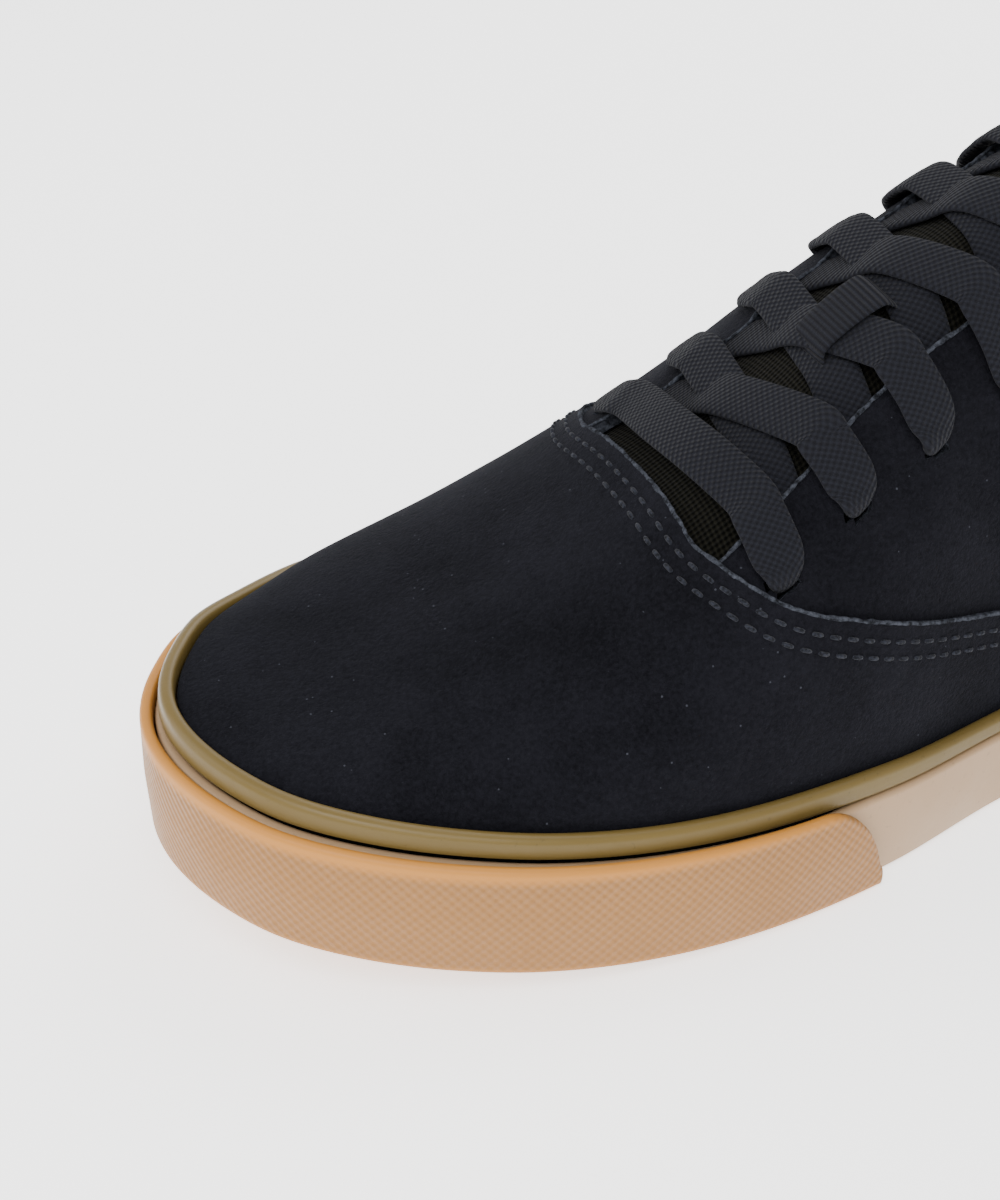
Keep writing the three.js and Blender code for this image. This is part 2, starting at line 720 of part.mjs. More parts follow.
function backstay() {
  const outer = formSolid(CLEARANCE + BACKSTAY_THICKNESS, () => 0);
  const inner = formSolid(CLEARANCE, () => 0);
  const low = stripTop(0) + CLEARANCE;
  const high = COLLAR_HEIGHT - BACKSTAY_MARGIN;
  const box = new THREE.BoxGeometry(2 * BEYOND, BACKSTAY_WIDTH, high - low);
  box.translate(BACKSTAY_WIDTH - BEYOND, 0, (high + low) / 2);
  return outer.subtract(inner).intersect(solidOf(box));
}

// Tongue: crowned pad under the flaps, along the ridge and on above the throat's top
const TONGUE_STATIONS = 20;
const TONGUE_STEPS = 10;
function tongue() {
  const inside = form(-WALL - TONGUE_SINK);
  const rows = [];
  for (let i = 0; i <= TONGUE_STATIONS; i += 1) {
    const share = i / TONGUE_STATIONS;
    const x = LENGTH * THREE.MathUtils.lerp(TONGUE_START, TONGUE_END, share);
    const section = inside.place(x);
    const half = (medial) => Math.min(
      throatGap(x) + TONGUE_OVERLAP + TONGUE_TOP_FLARE * share ** 3,
      TONGUE_FIT * reachAt(section, medial, BELLY_ANGLE),
    );
    const thick = THREE.MathUtils.lerp(TONGUE_BASE_THICKNESS, TONGUE_TOP_THICKNESS, share);
    const top = [];
    const bottom = [];
    for (let j = 0; j <= TONGUE_STEPS; j += 1) {
      const across = THREE.MathUtils.lerp(-1, 1, j / TONGUE_STEPS);
      const y = ridgeY(x) + across * half(across > 0);
      const z = inside.height(x, y);
      const depth = thick * (1 - TONGUE_EDGE_THINNING * across * across);
      const away = normalOf(inside, x, y).multiplyScalar(-depth);
      top.push(new THREE.Vector3(x, y, z));
      bottom.unshift(new THREE.Vector3(x, y, z).add(away));
    }
    rows.push([...top, ...bottom]);
  }
  const cap = rows[0].map(({ y, z }) => new THREE.Vector2(y, z));
  return loft(rows, cap);
}

function insole() {
  const low = (along) => plateTop(along) + CLEARANCE;
  const high = (along) => low(along) + INSOLE_THICKNESS;
  return plate(QUARTER_OUT + WALL + 2 * CLEARANCE, low, high, INSOLE_STATIONS);
}

// Flat strip over a surface, through places given in plan with a height above the surface
const STRIP_STATIONS = 9;
function flatStrip(surface, route, width, thickness) {
  const path = new THREE.CatmullRomCurve3(route.map(({ x, y, hover, under = surface }) => {
    const normal = normalOf(under, x, y);
    return new THREE.Vector3(x, y, under.height(x, y)).addScaledVector(normal, hover);
  }));
  const rows = [];
  for (let i = 0; i <= STRIP_STATIONS; i += 1) {
    const point = path.getPoint(i / STRIP_STATIONS);
    const tangent = path.getTangent(i / STRIP_STATIONS);
    const normal = normalOf(surface, point.x, point.y);
    const wide = new THREE.Vector3().crossVectors(normal, tangent).normalize().multiplyScalar(width / 2);
    const up = new THREE.Vector3().crossVectors(tangent, wide).normalize().multiplyScalar(thickness);
    rows.push([
      point.clone().sub(wide),
      point.clone().add(wide),
      point.clone().add(wide).add(up),
      point.clone().sub(wide).add(up),
    ]);
  }
  const flat = [[-1, 0], [1, 0], [1, 1], [-1, 1]].map(([u, v]) => new THREE.Vector2(u, v));
  return loft(rows, flat);
}

const rowPlaces = { medial: eyelets(1), lateral: eyelets(-1) };
const tongueSurface = form(-WALL - TONGUE_SINK);

// Bottom bar, over both flaps at the first pair of eyelets: places as shares of the way across
const BAR_PLACES = [0.08, 0.3, 0.7, 0.92];
function laceBar() {
  const from = rowPlaces.lateral[0];
  const to = rowPlaces.medial[0];
  const at = (share) => ({
    x: THREE.MathUtils.lerp(from.x, to.x, share),
    y: THREE.MathUtils.lerp(from.y, to.y, share),
    hover: LACE_HOVER,
    under: quarters,
  });
  const route = BAR_PLACES.map((share) => at(share));
  return flatStrip(tongueSurface, route, LACE_WIDTH, LACE_THICKNESS);
}

// One crossing: a strip from under each flap, up and over the other flap to the next eyelet
function laceCross(row) {
  const arm = (from, to, sign) => {
    const startX = from.x - LACE_SETOFF;
    const edge = ridgeY(startX) - sign * (throatGap(startX) - LACE_WIDTH / 2 - LACE_TUCK);
    const middleX = (startX + to.x) / 2;
    const edgeAway = lineOf(sign).setback + LACE_TUCK;
    return flatStrip(tongueSurface, [
      { x: startX, y: edge, hover: LACE_HOVER },
      { x: middleX, y: ridgeY(middleX), hover: LACE_HOVER + LACE_THICKNESS },
      { x: to.x + LACE_TURN, y: to.y - sign * edgeAway, hover: LACE_HOVER, under: quarters },
      { x: to.x, y: to.y - sign * LACE_LANDING, hover: LACE_HOVER, under: quarters },
    ], LACE_WIDTH, LACE_THICKNESS);
  };
  const over = arm(rowPlaces.lateral[row], rowPlaces.medial[row + 1], 1);
  const under = arm(rowPlaces.medial[row], rowPlaces.lateral[row + 1], -1);
  return over.add(under);
}

// Ribbon along the tongue, sewn down at both ends, over the crossing that passes under it
function laceKeeper() {
  const { medial, lateral } = rowPlaces;
  const crossing = [medial[KEEPER_ROW], lateral[KEEPER_ROW], medial[KEEPER_ROW + 1], lateral[KEEPER_ROW + 1]];
  const mean = crossing.reduce((sum, { x }) => sum + x, 0) / crossing.length;
  const middle = mean + KEEPER_FORWARD - LACE_SETOFF / 2;
  const over = LACE_HOVER + 2 * LACE_THICKNESS + 4 * CLEARANCE;
  const half = KEEPER_LENGTH / 2;
  const route = [
    { away: half, hover: CLEARANCE },
    { away: half - KEEPER_RAMP, hover: over },
    { away: 0, hover: over },
    { away: KEEPER_RAMP - half, hover: over },
    { away: -half, hover: CLEARANCE },
  ];
  const places = route.map(({ away, hover }) => ({ x: middle + away, y: ridgeY(middle + away), hover }));
  return flatStrip(tongueSurface, places, KEEPER_WIDTH, KEEPER_THICKNESS);
}

const MATERIALS = {
  gum: new THREE.MeshStandardMaterial({ color: 0xc49b6e, roughness: 0.55, metalness: 0 }),
  tape: new THREE.MeshStandardMaterial({ color: 0xb9a895, roughness: 0.5, metalness: 0 }),
  khaki: new THREE.MeshStandardMaterial({ color: 0x917e5f, roughness: 0.5, metalness: 0 }),
  suede: new THREE.MeshStandardMaterial({ color: 0x16171c, roughness: 0.95, metalness: 0 }),
  canvas: new THREE.MeshStandardMaterial({ color: 0x12110e, roughness: 0.9, metalness: 0 }),
  lace: new THREE.MeshStandardMaterial({ color: 0x23242c, roughness: 0.85, metalness: 0 }),
};

function meshOf(name, solid, material) {
  const { vertProperties, triVerts } = solid.getMesh();
  const geometry = new THREE.BufferGeometry();
  geometry.setAttribute('position', new THREE.BufferAttribute(vertProperties, 3));
  geometry.setIndex(new THREE.BufferAttribute(triVerts, 1));
  geometry.computeVertexNormals();
  const mesh = new THREE.Mesh(geometry, MATERIALS[material]);
  mesh.name = name;
  return mesh;
}

const shoe = new THREE.Group();
shoe.add(meshOf('outsole', outsole(), 'gum'));
shoe.add(meshOf('foxing_lower', lowerTape(), 'tape'));
shoe.add(meshOf('foxing_upper', upperStrip(), 'khaki'));
shoe.add(meshOf('toe_bumper', toeBumper(), 'gum'));
shoe.add(meshOf('upper', upper(), 'suede'));
shoe.add(meshOf('backstay', backstay(), 'suede'));
shoe.add(meshOf('tongue', tongue(), 'canvas'));
shoe.add(meshOf('insole', insole(), 'canvas'));
shoe.add(meshOf('lace_keeper', laceKeeper(), 'lace'));
shoe.add(meshOf('lace_bar', laceBar(), 'lace'));
for (let row = 0; row < EYELET_ROWS - 1; row += 1) {
  shoe.add(meshOf(`lace_cross_${row + 1}`, laceCross(row), 'lace'));
}

// The origin is the middle of the footprint
const extent = new THREE.Box3().setFromObject(shoe);
const middle = extent.getCenter(new THREE.Vector3());
shoe.position.set(-middle.x, -middle.y, 0);

export default shoe;
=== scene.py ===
"""Looks of a low suede skateboarding shoe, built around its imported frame.

Lengths in this file are millimetres with the heel end of the outsole's outline at x = 0, as the shoe's
maker would measure it. to_frame() turns them into metres in the frame.
"""

import math
from types import SimpleNamespace

import bpy
import numpy as np
from bpy.props import FloatProperty, FloatVectorProperty, IntProperty, PointerProperty
from mathutils import Matrix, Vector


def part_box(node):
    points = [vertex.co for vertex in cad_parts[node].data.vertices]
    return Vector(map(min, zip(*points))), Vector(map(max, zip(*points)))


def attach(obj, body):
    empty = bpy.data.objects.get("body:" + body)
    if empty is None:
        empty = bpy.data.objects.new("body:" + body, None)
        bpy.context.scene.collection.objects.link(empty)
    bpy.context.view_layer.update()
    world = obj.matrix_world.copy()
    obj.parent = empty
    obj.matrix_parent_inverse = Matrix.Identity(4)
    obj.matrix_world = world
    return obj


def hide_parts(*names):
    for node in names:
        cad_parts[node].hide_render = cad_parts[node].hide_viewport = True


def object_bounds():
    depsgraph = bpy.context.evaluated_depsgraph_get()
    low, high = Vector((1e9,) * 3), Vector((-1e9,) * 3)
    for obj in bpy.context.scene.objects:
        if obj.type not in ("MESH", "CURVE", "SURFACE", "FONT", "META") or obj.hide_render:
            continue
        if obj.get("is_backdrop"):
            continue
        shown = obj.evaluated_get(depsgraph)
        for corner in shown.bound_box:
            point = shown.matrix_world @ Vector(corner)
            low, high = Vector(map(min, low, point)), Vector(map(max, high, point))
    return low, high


bl_info = {
    "name": "Low skateboarding shoe",
    "version": (1, 0, 0),
    "blender": (4, 5, 0),
    "location": "3D View > Sidebar > Shoe",
    "description": "Builds the looks of a low suede skateboarding shoe around its solids",
    "category": "Object",
}

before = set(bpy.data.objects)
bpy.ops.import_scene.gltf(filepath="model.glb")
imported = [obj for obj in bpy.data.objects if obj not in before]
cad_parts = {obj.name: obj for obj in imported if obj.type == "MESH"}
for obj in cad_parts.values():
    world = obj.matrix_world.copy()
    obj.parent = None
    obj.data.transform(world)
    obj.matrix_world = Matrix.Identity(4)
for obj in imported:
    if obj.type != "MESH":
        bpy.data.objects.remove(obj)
CAD_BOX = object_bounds()

# Sizes shared with the solids
LENGTH = 296
BALL_WIDTH = 100
TOE_SPRING = 10
ARCH_RISE = 1.2
INSTEP_HEIGHT = 111.6
COLLAR_HEIGHT = 80
CLEARANCE = 0.3
BUMPER_THICKNESS = 1.9
BUMPER_BULGE = 0.3
BUMPER_HEIGHT = 19.5
BUMPER_LIFT = 0.5
TAPE_THICKNESS = 2
TAPE_HEIGHT = 19.2
STRIP_HEIGHT = 23.6
STRIP_STEP = 0.6
STRIP_LEAN = 0.5
STRIP_THICKNESS = 2.6
TAPE_LIFT = 0.8
FOREFOOT_PLATE = 9
HEEL_PLATE = 14
BUMPER_END_MEDIAL = 0.657
BUMPER_END_LATERAL = 0.665
BUMPER_END_LENGTH = 0.04
BUMPER_END_SQUARE = 0.03
WALL = 1.9
VAMP_STEP = 1.0
VAMP_TIP = 0.36
VAMP_BLEND = 0.06
ARC_START = 1.5
THROAT_BASE = 0.737
THROAT_TOP = 0.37
HEEL_BULGE = 2.2
HEEL_REACH = 0.12
EYELET_RADIUS = 2.1
EYELET_ROWS = 7
BACKSTAY_WIDTH = 26
BACKSTAY_THICKNESS = 1.1
TONGUE_BASE_THICKNESS = 2.6
TONGUE_TOP_THICKNESS = 7
TONGUE_EDGE_THINNING = 0.55
TONGUE_SINK = 0.8
TONGUE_START = 0.775
TONGUE_END = 0.315
TONGUE_OVERLAP = 7
TONGUE_FIT = 0.93
TONGUE_TOP_FLARE = 6
INSOLE_THICKNESS = 4
SPRING_START = 0.62
SPRING_POWER = 2.2
ARCH_START = 0.3
ARCH_END = 0.5
PLATE_BLEND_START = 0.2
PLATE_BLEND_END = 0.6
TOE_ROUNDNESS = 2.25
INSTEP_ROUNDNESS = 1.9
INSTEP_PLACE = 0.51
TOE_PLACE = 0.78
BELLY_ANGLE = 0.7

# Insets of the layers of the sole's side, from the bumper's face inwards
TAPE_OUT = BUMPER_THICKNESS + CLEARANCE
TAPE_IN = TAPE_OUT + TAPE_THICKNESS
PLATE_OUT = TAPE_IN + CLEARANCE
STRIP_OUT = TAPE_OUT + STRIP_STEP
STRIP_IN = STRIP_OUT + STRIP_THICKNESS
VAMP_OUT = STRIP_IN + CLEARANCE
QUARTER_OUT = VAMP_OUT + VAMP_STEP
THROAT_START_X = THROAT_BASE * LENGTH
THROAT_END_X = THROAT_TOP * LENGTH


def table(columns, rows):
    """Gives a small table's columns as arrays by name."""
    return dict(zip(columns.split(), np.array(rows, float).T))


OUTLINE = table("along medial lateral", [
    (0.000, 0.000, 0.000),
    (0.051, 0.313, 0.320),
    (0.152, 0.361, 0.371),
    (0.253, 0.347, 0.375),
    (0.355, 0.312, 0.388),
    (0.456, 0.312, 0.428),
    (0.557, 0.370, 0.470),
    (0.642, 0.445, 0.490),
    (0.743, 0.494, 0.488),
    (0.845, 0.477, 0.438),
    (0.885, 0.444, 0.390),
    (0.929, 0.386, 0.304),
    (0.963, 0.313, 0.216),
    (0.983, 0.234, 0.120),
    (0.995, 0.155, 0.034),
    (1.000, 0.062, -0.062),
])
SIDE_HEIGHTS = table("along tape strip", [
    (0.00, 1.04, 1.12),
    (0.20, 0.96, 1.02),
    (0.46, 0.77, 0.78),
    (0.57, 0.76, 0.75),
    (0.68, 0.84, 0.86),
    (0.78, 0.92, 0.91),
    (0.88, 0.98, 0.96),
    (1.00, 1.00, 1.00),
])
RIDGE = table("along height side", [
    (0.010, 0.700, 0.000),
    (0.022, 0.760, 0.000),
    (0.034, 0.930, 0.000),
    (0.080, 1.060, 0.000),
    (0.200, 1.110, 0.010),
    (0.310, 1.090, 0.020),
    (0.402, 1.000, 0.029),
    (0.537, 0.851, 0.029),
    (0.615, 0.740, 0.048),
    (0.689, 0.595, 0.065),
    (0.807, 0.398, 0.020),
    (0.892, 0.322, -0.015),
    (0.960, 0.294, 0.020),
    (0.981, 0.283, 0.055),
])
BELLY = table("along medial lateral", [
    (0.00, 0.000, 0.000),
    (0.15, 0.010, 0.010),
    (0.35, 0.050, 0.015),
    (0.48, 0.065, 0.015),
    (0.60, 0.020, 0.005),
    (0.72, 0.000, 0.000),
    (1.00, 0.000, 0.000),
])
THROAT = table("back gap", [
    (0.00, 0.217),
    (0.12, 0.178),
    (0.46, 0.143),
    (0.80, 0.143),
    (1.00, 0.155),
])
EYELET_LINES = {
    1: {"first": 0.104, "last": 0.905, "setback": 7},
    -1: {"first": 0.066, "last": 0.77, "setback": 6.3},
}
COLLAR = table("along height", [
    (-0.020, 1.01),
    (0.040, 1.00),
    (0.085, 0.93),
    (0.145, 0.83),
    (0.210, 0.80),
    (0.275, 0.86),
    (0.330, 1.02),
    (0.368, 1.25),
    (0.385, 1.48),
])
VAMP_EDGE = table("along height", [
    (0.420, 0.150),
    (0.470, 0.245),
    (0.540, 0.300),
    (0.607, 0.345),
    (0.672, 0.400),
    (0.703, 0.428),
    (0.737, 0.480),
])


# The shoe's form, worked out as its solids are

def turn_at(along):
    """Turns a place along the shoe into a turn from heel (0) to toe (1)."""
    return np.arccos(np.clip(1 - 2 * np.asarray(along, float), -1, 1)) / math.pi


def along_at(turn):
    """Turns that back into a place along the shoe."""
    return (1 - np.cos(math.pi * np.asarray(turn, float))) / 2


def lerp(start, end, share):
    """Blends two values."""
    return start + (end - start) * share


def smoothstep(value, low, high):
    """Eases from 0 to 1 between two values."""
    share = np.clip((value - low) / (high - low), 0, 1)
    return share * share * (3 - 2 * share)


class Curve:
    """Smooth curve through one column of a table."""

    def __init__(self, rows, column, by_turn=False):
        self.place = turn_at if by_turn else np.asarray
        self.knots = self.place(rows[next(iter(rows))])
        self.values = rows[column]
        spans = np.diff(self.knots)
        rise = np.diff(self.values) / spans
        inner = (rise[:-1] * spans[1:] + rise[1:] * spans[:-1]) / (spans[:-1] + spans[1:])
        self.tangents = np.concatenate([rise[:1], inner, rise[-1:]])

    def __call__(self, at):
        x = np.clip(self.place(at), self.knots[0], self.knots[-1])
        i = np.clip(np.searchsorted(self.knots, x, side="right") - 1, 0, len(self.knots) - 2)
        span = self.knots[i + 1] - self.knots[i]
        t = (x - self.knots[i]) / span
        rise = self.values[i + 1] - self.values[i]
        bend = (1 - t) * (self.tangents[i] * span - rise) - t * (self.tangents[i + 1] * span - rise)
        return self.values[i] + t * rise + t * (1 - t) * bend


medial_share = Curve(OUTLINE, "medial", by_turn=True)
lateral_share = Curve(OUTLINE, "lateral", by_turn=True)
tape_share = Curve(SIDE_HEIGHTS, "tape")
strip_share = Curve(SIDE_HEIGHTS, "strip")
ridge_share = Curve(RIDGE, "height", by_turn=True)
ridge_side = Curve(RIDGE, "side", by_turn=True)
medial_belly = Curve(BELLY, "medial")
lateral_belly = Curve(BELLY, "lateral")
gap_share = Curve(THROAT, "gap")
collar_share = Curve(COLLAR, "height")
vamp_share = Curve(VAMP_EDGE, "height")


def ground(along):
    """Height of the sole's underside."""
    rise = np.maximum(0, (along - SPRING_START) / (1 - SPRING_START))
    arch = np.clip((along - ARCH_START) / (ARCH_END - ARCH_START), 0, 1)
    return TOE_SPRING * rise ** SPRING_POWER + ARCH_RISE * np.sin(math.pi * arch) ** 2


def tape_top(along):
    """Height of the lower tape's top edge."""
    return ground(along) + TAPE_HEIGHT * tape_share(along)


def strip_top(along):
    """Height of the upper strip's top edge."""
    return ground(along) + STRIP_HEIGHT * strip_share(along)


def plate_top(along):
    """Height of the plate under the insole."""
    blend = smoothstep(along, PLATE_BLEND_START, PLATE_BLEND_END)
    return ground(along) + lerp(HEEL_PLATE, FOREFOOT_PLATE, blend)


def outline_point(walk):
    """Point of the plan outline: 0 at the heel, 1 at the toe on the medial side, 2 back at the heel."""
    walk = np.mod(walk, 2)
    medial = walk < 1
    along = along_at(np.where(medial, walk, 2 - walk))
    across = np.where(medial, medial_share(along), -lateral_share(along))
    return np.stack([LENGTH * along, BALL_WIDTH * across], axis=-1)


WALK_STEP = 1e-4


def outline_at(walk):
    """Points and outward normals of the plan outline."""
    tangent = outline_point(walk + WALK_STEP) - outline_point(walk - WALK_STEP)
    tangent /= np.linalg.norm(tangent, axis=-1, keepdims=True)
    return outline_point(walk), np.stack([-tangent[..., 1], tangent[..., 0]], axis=-1)


class Sides:
    """Both sides of the outline moved inwards, readable at any x."""

    FINE = 400

    def __init__(self, inset):
        point, normal = outline_at(np.arange(2 * self.FINE) / self.FINE)
        moved = point - inset * normal
        self.medial_run = self.rising(moved[: self.FINE + 1])
        self.lateral_run = self.rising(np.vstack([moved[:1], moved[self.FINE:][::-1]]))
        self.heel = self.medial_run[0, 0]
        self.toe = self.medial_run[-1, 0]

    @staticmethod
    def rising(points):
        """Keeps the points that go forwards."""
        highest = np.maximum.accumulate(points[:, 0])
        return points[np.concatenate([[True], points[1:, 0] > highest[:-1]])]

    def medial(self, x):
        """Medial side's y."""
        return np.interp(x, *self.medial_run.T)

    def lateral(self, x):
        """Lateral side's y."""
        return np.interp(x, *self.lateral_run.T)


def ridge_y(x):
    """Sideways place of the last's centre line."""
    return BALL_WIDTH * ridge_side(np.asarray(x) / LENGTH)


def throat_gap(x):
    """Half width of the throat."""
    return BALL_WIDTH * gap_share((THROAT_START_X - np.asarray(x)) / (THROAT_START_X - THROAT_END_X))


class Last:
    """The upper's form, grown by a distance over the quarters' surface."""

    BISECTIONS = 40
    HIGHEST = 1.2
    NORMAL_REACH = 1.5
    STEEP = (0.6, 0.9)
    SMALL_STEP = 0.02

    def __init__(self, grow):
        self.grow = grow
        self.sides = Sides(QUARTER_OUT - grow)

    def section(self, x):
        """Sizes of the section at x."""
        along = np.asarray(x, float) / LENGTH
        base = strip_top(along) - ARC_START
        fullness = np.clip((along - INSTEP_PLACE) / (TOE_PLACE - INSTEP_PLACE), 0, 1)
        return SimpleNamespace(
            along=along,
            base=base,
            ridge=np.maximum(base + CLEARANCE, INSTEP_HEIGHT * ridge_share(along) - VAMP_STEP + self.grow),
            side=ridge_y(x),
            medial=self.sides.medial(x),
            lateral=self.sides.lateral(x),
            power=2 / lerp(INSTEP_ROUNDNESS, TOE_ROUNDNESS, fullness),
        )

    def reach(self, s, medial, angle):
        """Distance from the centre line at an angle from the sole's line (0) to the ridge."""
        half = np.where(medial, s.medial - s.side, s.side - s.lateral)
        belly = BALL_WIDTH * np.where(medial, medial_belly(s.along), lateral_belly(s.along))
        swell = belly * np.sin(np.minimum(angle / BELLY_ANGLE, 1) * math.pi / 2) ** 2
        return (half + swell) * np.clip(np.cos(angle), 0, 1) ** s.power

    def rise(self, s, angle):
        """Height at that angle."""
        return s.base + (s.ridge - s.base) * np.sin(angle) ** s.power

    def point(self, x, angle, medial):
        """Surface point, with the heel's bulge."""
        s = self.section(x)
        z = self.rise(s, angle)
        base = strip_top(s.along)
        up = np.clip((z - base) / (COLLAR_HEIGHT - base), 0, self.HIGHEST)
        near = np.clip(1 - s.along / HEEL_REACH, 0, 1)
        shift = near * HEEL_BULGE * 4 * up * (1 - up)
        y = s.side + np.where(medial, 1, -1) * self.reach(s, medial, angle)
        return np.stack(np.broadcast_arrays(x - shift, y, z), axis=-1)

    def angle_at_height(self, x, z):
        """Angle at which the surface reaches a height."""
        s = self.section(x)
        return np.arcsin(np.clip((z - s.base) / (s.ridge - s.base), 0, 1) ** (1 / s.power))

    def angle_at_reach(self, x, medial, wanted):
        """Angle at which the surface is a distance from the centre line."""
        s = self.section(x)
        low = np.zeros(np.broadcast(x, wanted).shape)
        high = low + math.pi / 2
        for _ in range(self.BISECTIONS):
            middle = (low + high) / 2
            wide = self.reach(s, medial, middle) > wanted
            low = np.where(wide, middle, low)
            high = np.where(wide, high, middle)
        return (low + high) / 2

    def height(self, x, y):
        """Height of the surface over a plan point."""
        x, y = np.broadcast_arrays(np.asarray(x, float), np.asarray(y, float))
        across = y - ridge_y(x)
        return self.rise(self.section(x), self.angle_at_reach(x, across > 0, np.abs(across)))

    def normal(self, x, y):
        """Upward normal of the surface over a plan point."""
        reach = self.NORMAL_REACH
        along = (self.height(x + reach, y) - self.height(x - reach, y)) / (2 * reach)
        across = (self.height(x, y + reach) - self.height(x, y - reach)) / (2 * reach)
        normal = np.stack([-along, -across, np.ones_like(along)], axis=-1)
        return normal / np.linalg.norm(normal, axis=-1, keepdims=True)

    def settle(self, points):
        """Surface points and outward normals nearest to points that lie about on it."""
        x, y, z = points.T
        medial = y > ridge_y(x)
        by_reach = self.angle_at_reach(x, medial, np.abs(y - ridge_y(x)))
        by_height = self.angle_at_height(x, z)
        angle = lerp(by_height, by_reach, smoothstep(by_reach, *self.STEEP))
        angle = np.clip(angle, self.SMALL_STEP * 2, math.pi / 2 - self.SMALL_STEP * 2)
        along = self.point(x + 1, angle, medial) - self.point(x - 1, angle, medial)
        up = self.point(x, angle + self.SMALL_STEP, medial) - self.point(x, angle - self.SMALL_STEP, medial)
        normal = np.cross(along, up)
        normal *= np.where(medial, -1, 1)[:, None]
        return self.point(x, angle, medial), normal / np.linalg.norm(normal, axis=1, keepdims=True)


quarters = Last(0)
vamp_form = Last(VAMP_STEP)
tongue_form = Last(-WALL - TONGUE_SINK)


EDGE_STEPS = 240


def eyelet_places(sign):
    """Places of the eyelets on one side, evenly along the throat's edge."""
    line = EYELET_LINES[sign]
    x = np.linspace(THROAT_START_X, THROAT_END_X, EDGE_STEPS + 1)
    y = ridge_y(x) + sign * throat_gap(x)
    edge = np.stack([x, y, quarters.height(x, y)], axis=-1)
    walked = np.concatenate([[0], np.cumsum(np.linalg.norm(np.diff(edge, axis=0), axis=1))])
    wanted = walked[-1] * np.linspace(line["first"], line["last"], EYELET_ROWS)
    x = np.interp(wanted, walked, x)
    y = np.interp(wanted, walked, y) + sign * line["setback"]
    return np.stack([x, y, quarters.height(x, y)], axis=-1)


EYELETS = {1: eyelet_places(1), -1: eyelet_places(-1)}

# The footprint's middle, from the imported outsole
PLATE_STATIONS = 42
plate_sides = Sides(PLATE_OUT)
plate_x = lerp(plate_sides.heel, plate_sides.toe, along_at(np.arange(PLATE_STATIONS + 1) / PLATE_STATIONS))
PLATE_LOW = np.array(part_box("outsole")[0]) * 1000
MIDDLE = np.array([plate_sides.heel - PLATE_LOW[0], plate_sides.lateral(plate_x).min() - PLATE_LOW[1], 0])


def to_frame(points):
    """Turns the shoe's millimetres into the frame's metres."""
    return (np.asarray(points, float) - MIDDLE) / 1000


# Meshes

def grid_faces(rows, columns, wrap_rows=False, wrap_columns=False):
    """Quads of a grid, with each corner's row and column for its texture place."""
    r = np.arange(rows if wrap_rows else rows - 1)[:, None]
    c = np.arange(columns if wrap_columns else columns - 1)[None, :]
    corners = [(r, c), (r, c + 1), (r + 1, c + 1), (r + 1, c)]
    index = [((i % rows) * columns + j % columns) for i, j in corners]
    faces = np.stack([np.broadcast_to(i, (r.size, c.size)) for i in index], axis=-1).reshape(-1, 4)
    row = np.stack([np.broadcast_to(i, (r.size, c.size)) for i, _ in corners], axis=-1).reshape(-1, 4)
    column = np.stack([np.broadcast_to(j, (r.size, c.size)) for _, j in corners], axis=-1).reshape(-1, 4)
    return faces, row, column


SHARP_ANGLE = math.radians(38)


def piece_from(name, points, faces, materials, corner_uv=None, slots=None, sharp=SHARP_ANGLE):
    """Makes a mesh object in the frame and rides it on the one body."""
    mesh = bpy.data.meshes.new(name)
    mesh.from_pydata(to_frame(points).tolist(), [], [list(face) for face in faces])
    for material in materials:
        mesh.materials.append(material)
    if slots is not None:
        mesh.polygons.foreach_set("material_index", np.asarray(slots, np.int32))
    if corner_uv is not None:
        layer = mesh.uv_layers.new(name="UVMap")
        layer.data.foreach_set("uv", np.asarray(corner_uv, np.float32).ravel())
    mesh.update()
    mesh.shade_smooth()
    mesh.set_sharp_from_angle(angle=sharp)
    thing = bpy.data.objects.new(name, mesh)
    bpy.context.collection.objects.link(thing)
    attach(thing, "root")
    return thing


def apply_modifiers(thing):
    """Turns the modified shape into the piece's own mesh."""
    graph = bpy.context.evaluated_depsgraph_get()
    mesh = bpy.data.meshes.new_from_object(thing.evaluated_get(graph))
    thing.modifiers.clear()
    thing.data = mesh
    mesh.set_sharp_from_angle(angle=SHARP_ANGLE)


def thicken(thing, thickness, rim_slot, inside_slot=0):
    """Gives a sheet its wall, inwards, with its own material on the cut edge."""
    wall = thing.modifiers.new("wall", "SOLIDIFY")
    wall.thickness = thickness / 1000
    wall.offset = -1
    wall.use_rim = True
    wall.material_offset = inside_slot
    wall.material_offset_rim = rim_slot
    apply_modifiers(thing)


def rounded(profile, radius, steps=4):
    """Rounds the corners of closed section loops, given as samples x corners x 2."""
    before = np.roll(profile, 1, axis=1) - profile
    after = np.roll(profile, -1, axis=1) - profile
    size_before = np.linalg.norm(before, axis=2, keepdims=True)
    size_after = np.linalg.norm(after, axis=2, keepdims=True)
    start = profile + before / size_before * np.minimum(radius, size_before * 0.45)
    end = profile + after / size_after * np.minimum(radius, size_after * 0.45)
    share = np.linspace(0, 1, steps)[None, None, :, None]
    bent = (1 - share) ** 2 * start[:, :, None] + 2 * share * (1 - share) * profile[:, :, None]
    bent = bent + share ** 2 * end[:, :, None]
    return bent.reshape(profile.shape[0], -1, 2)


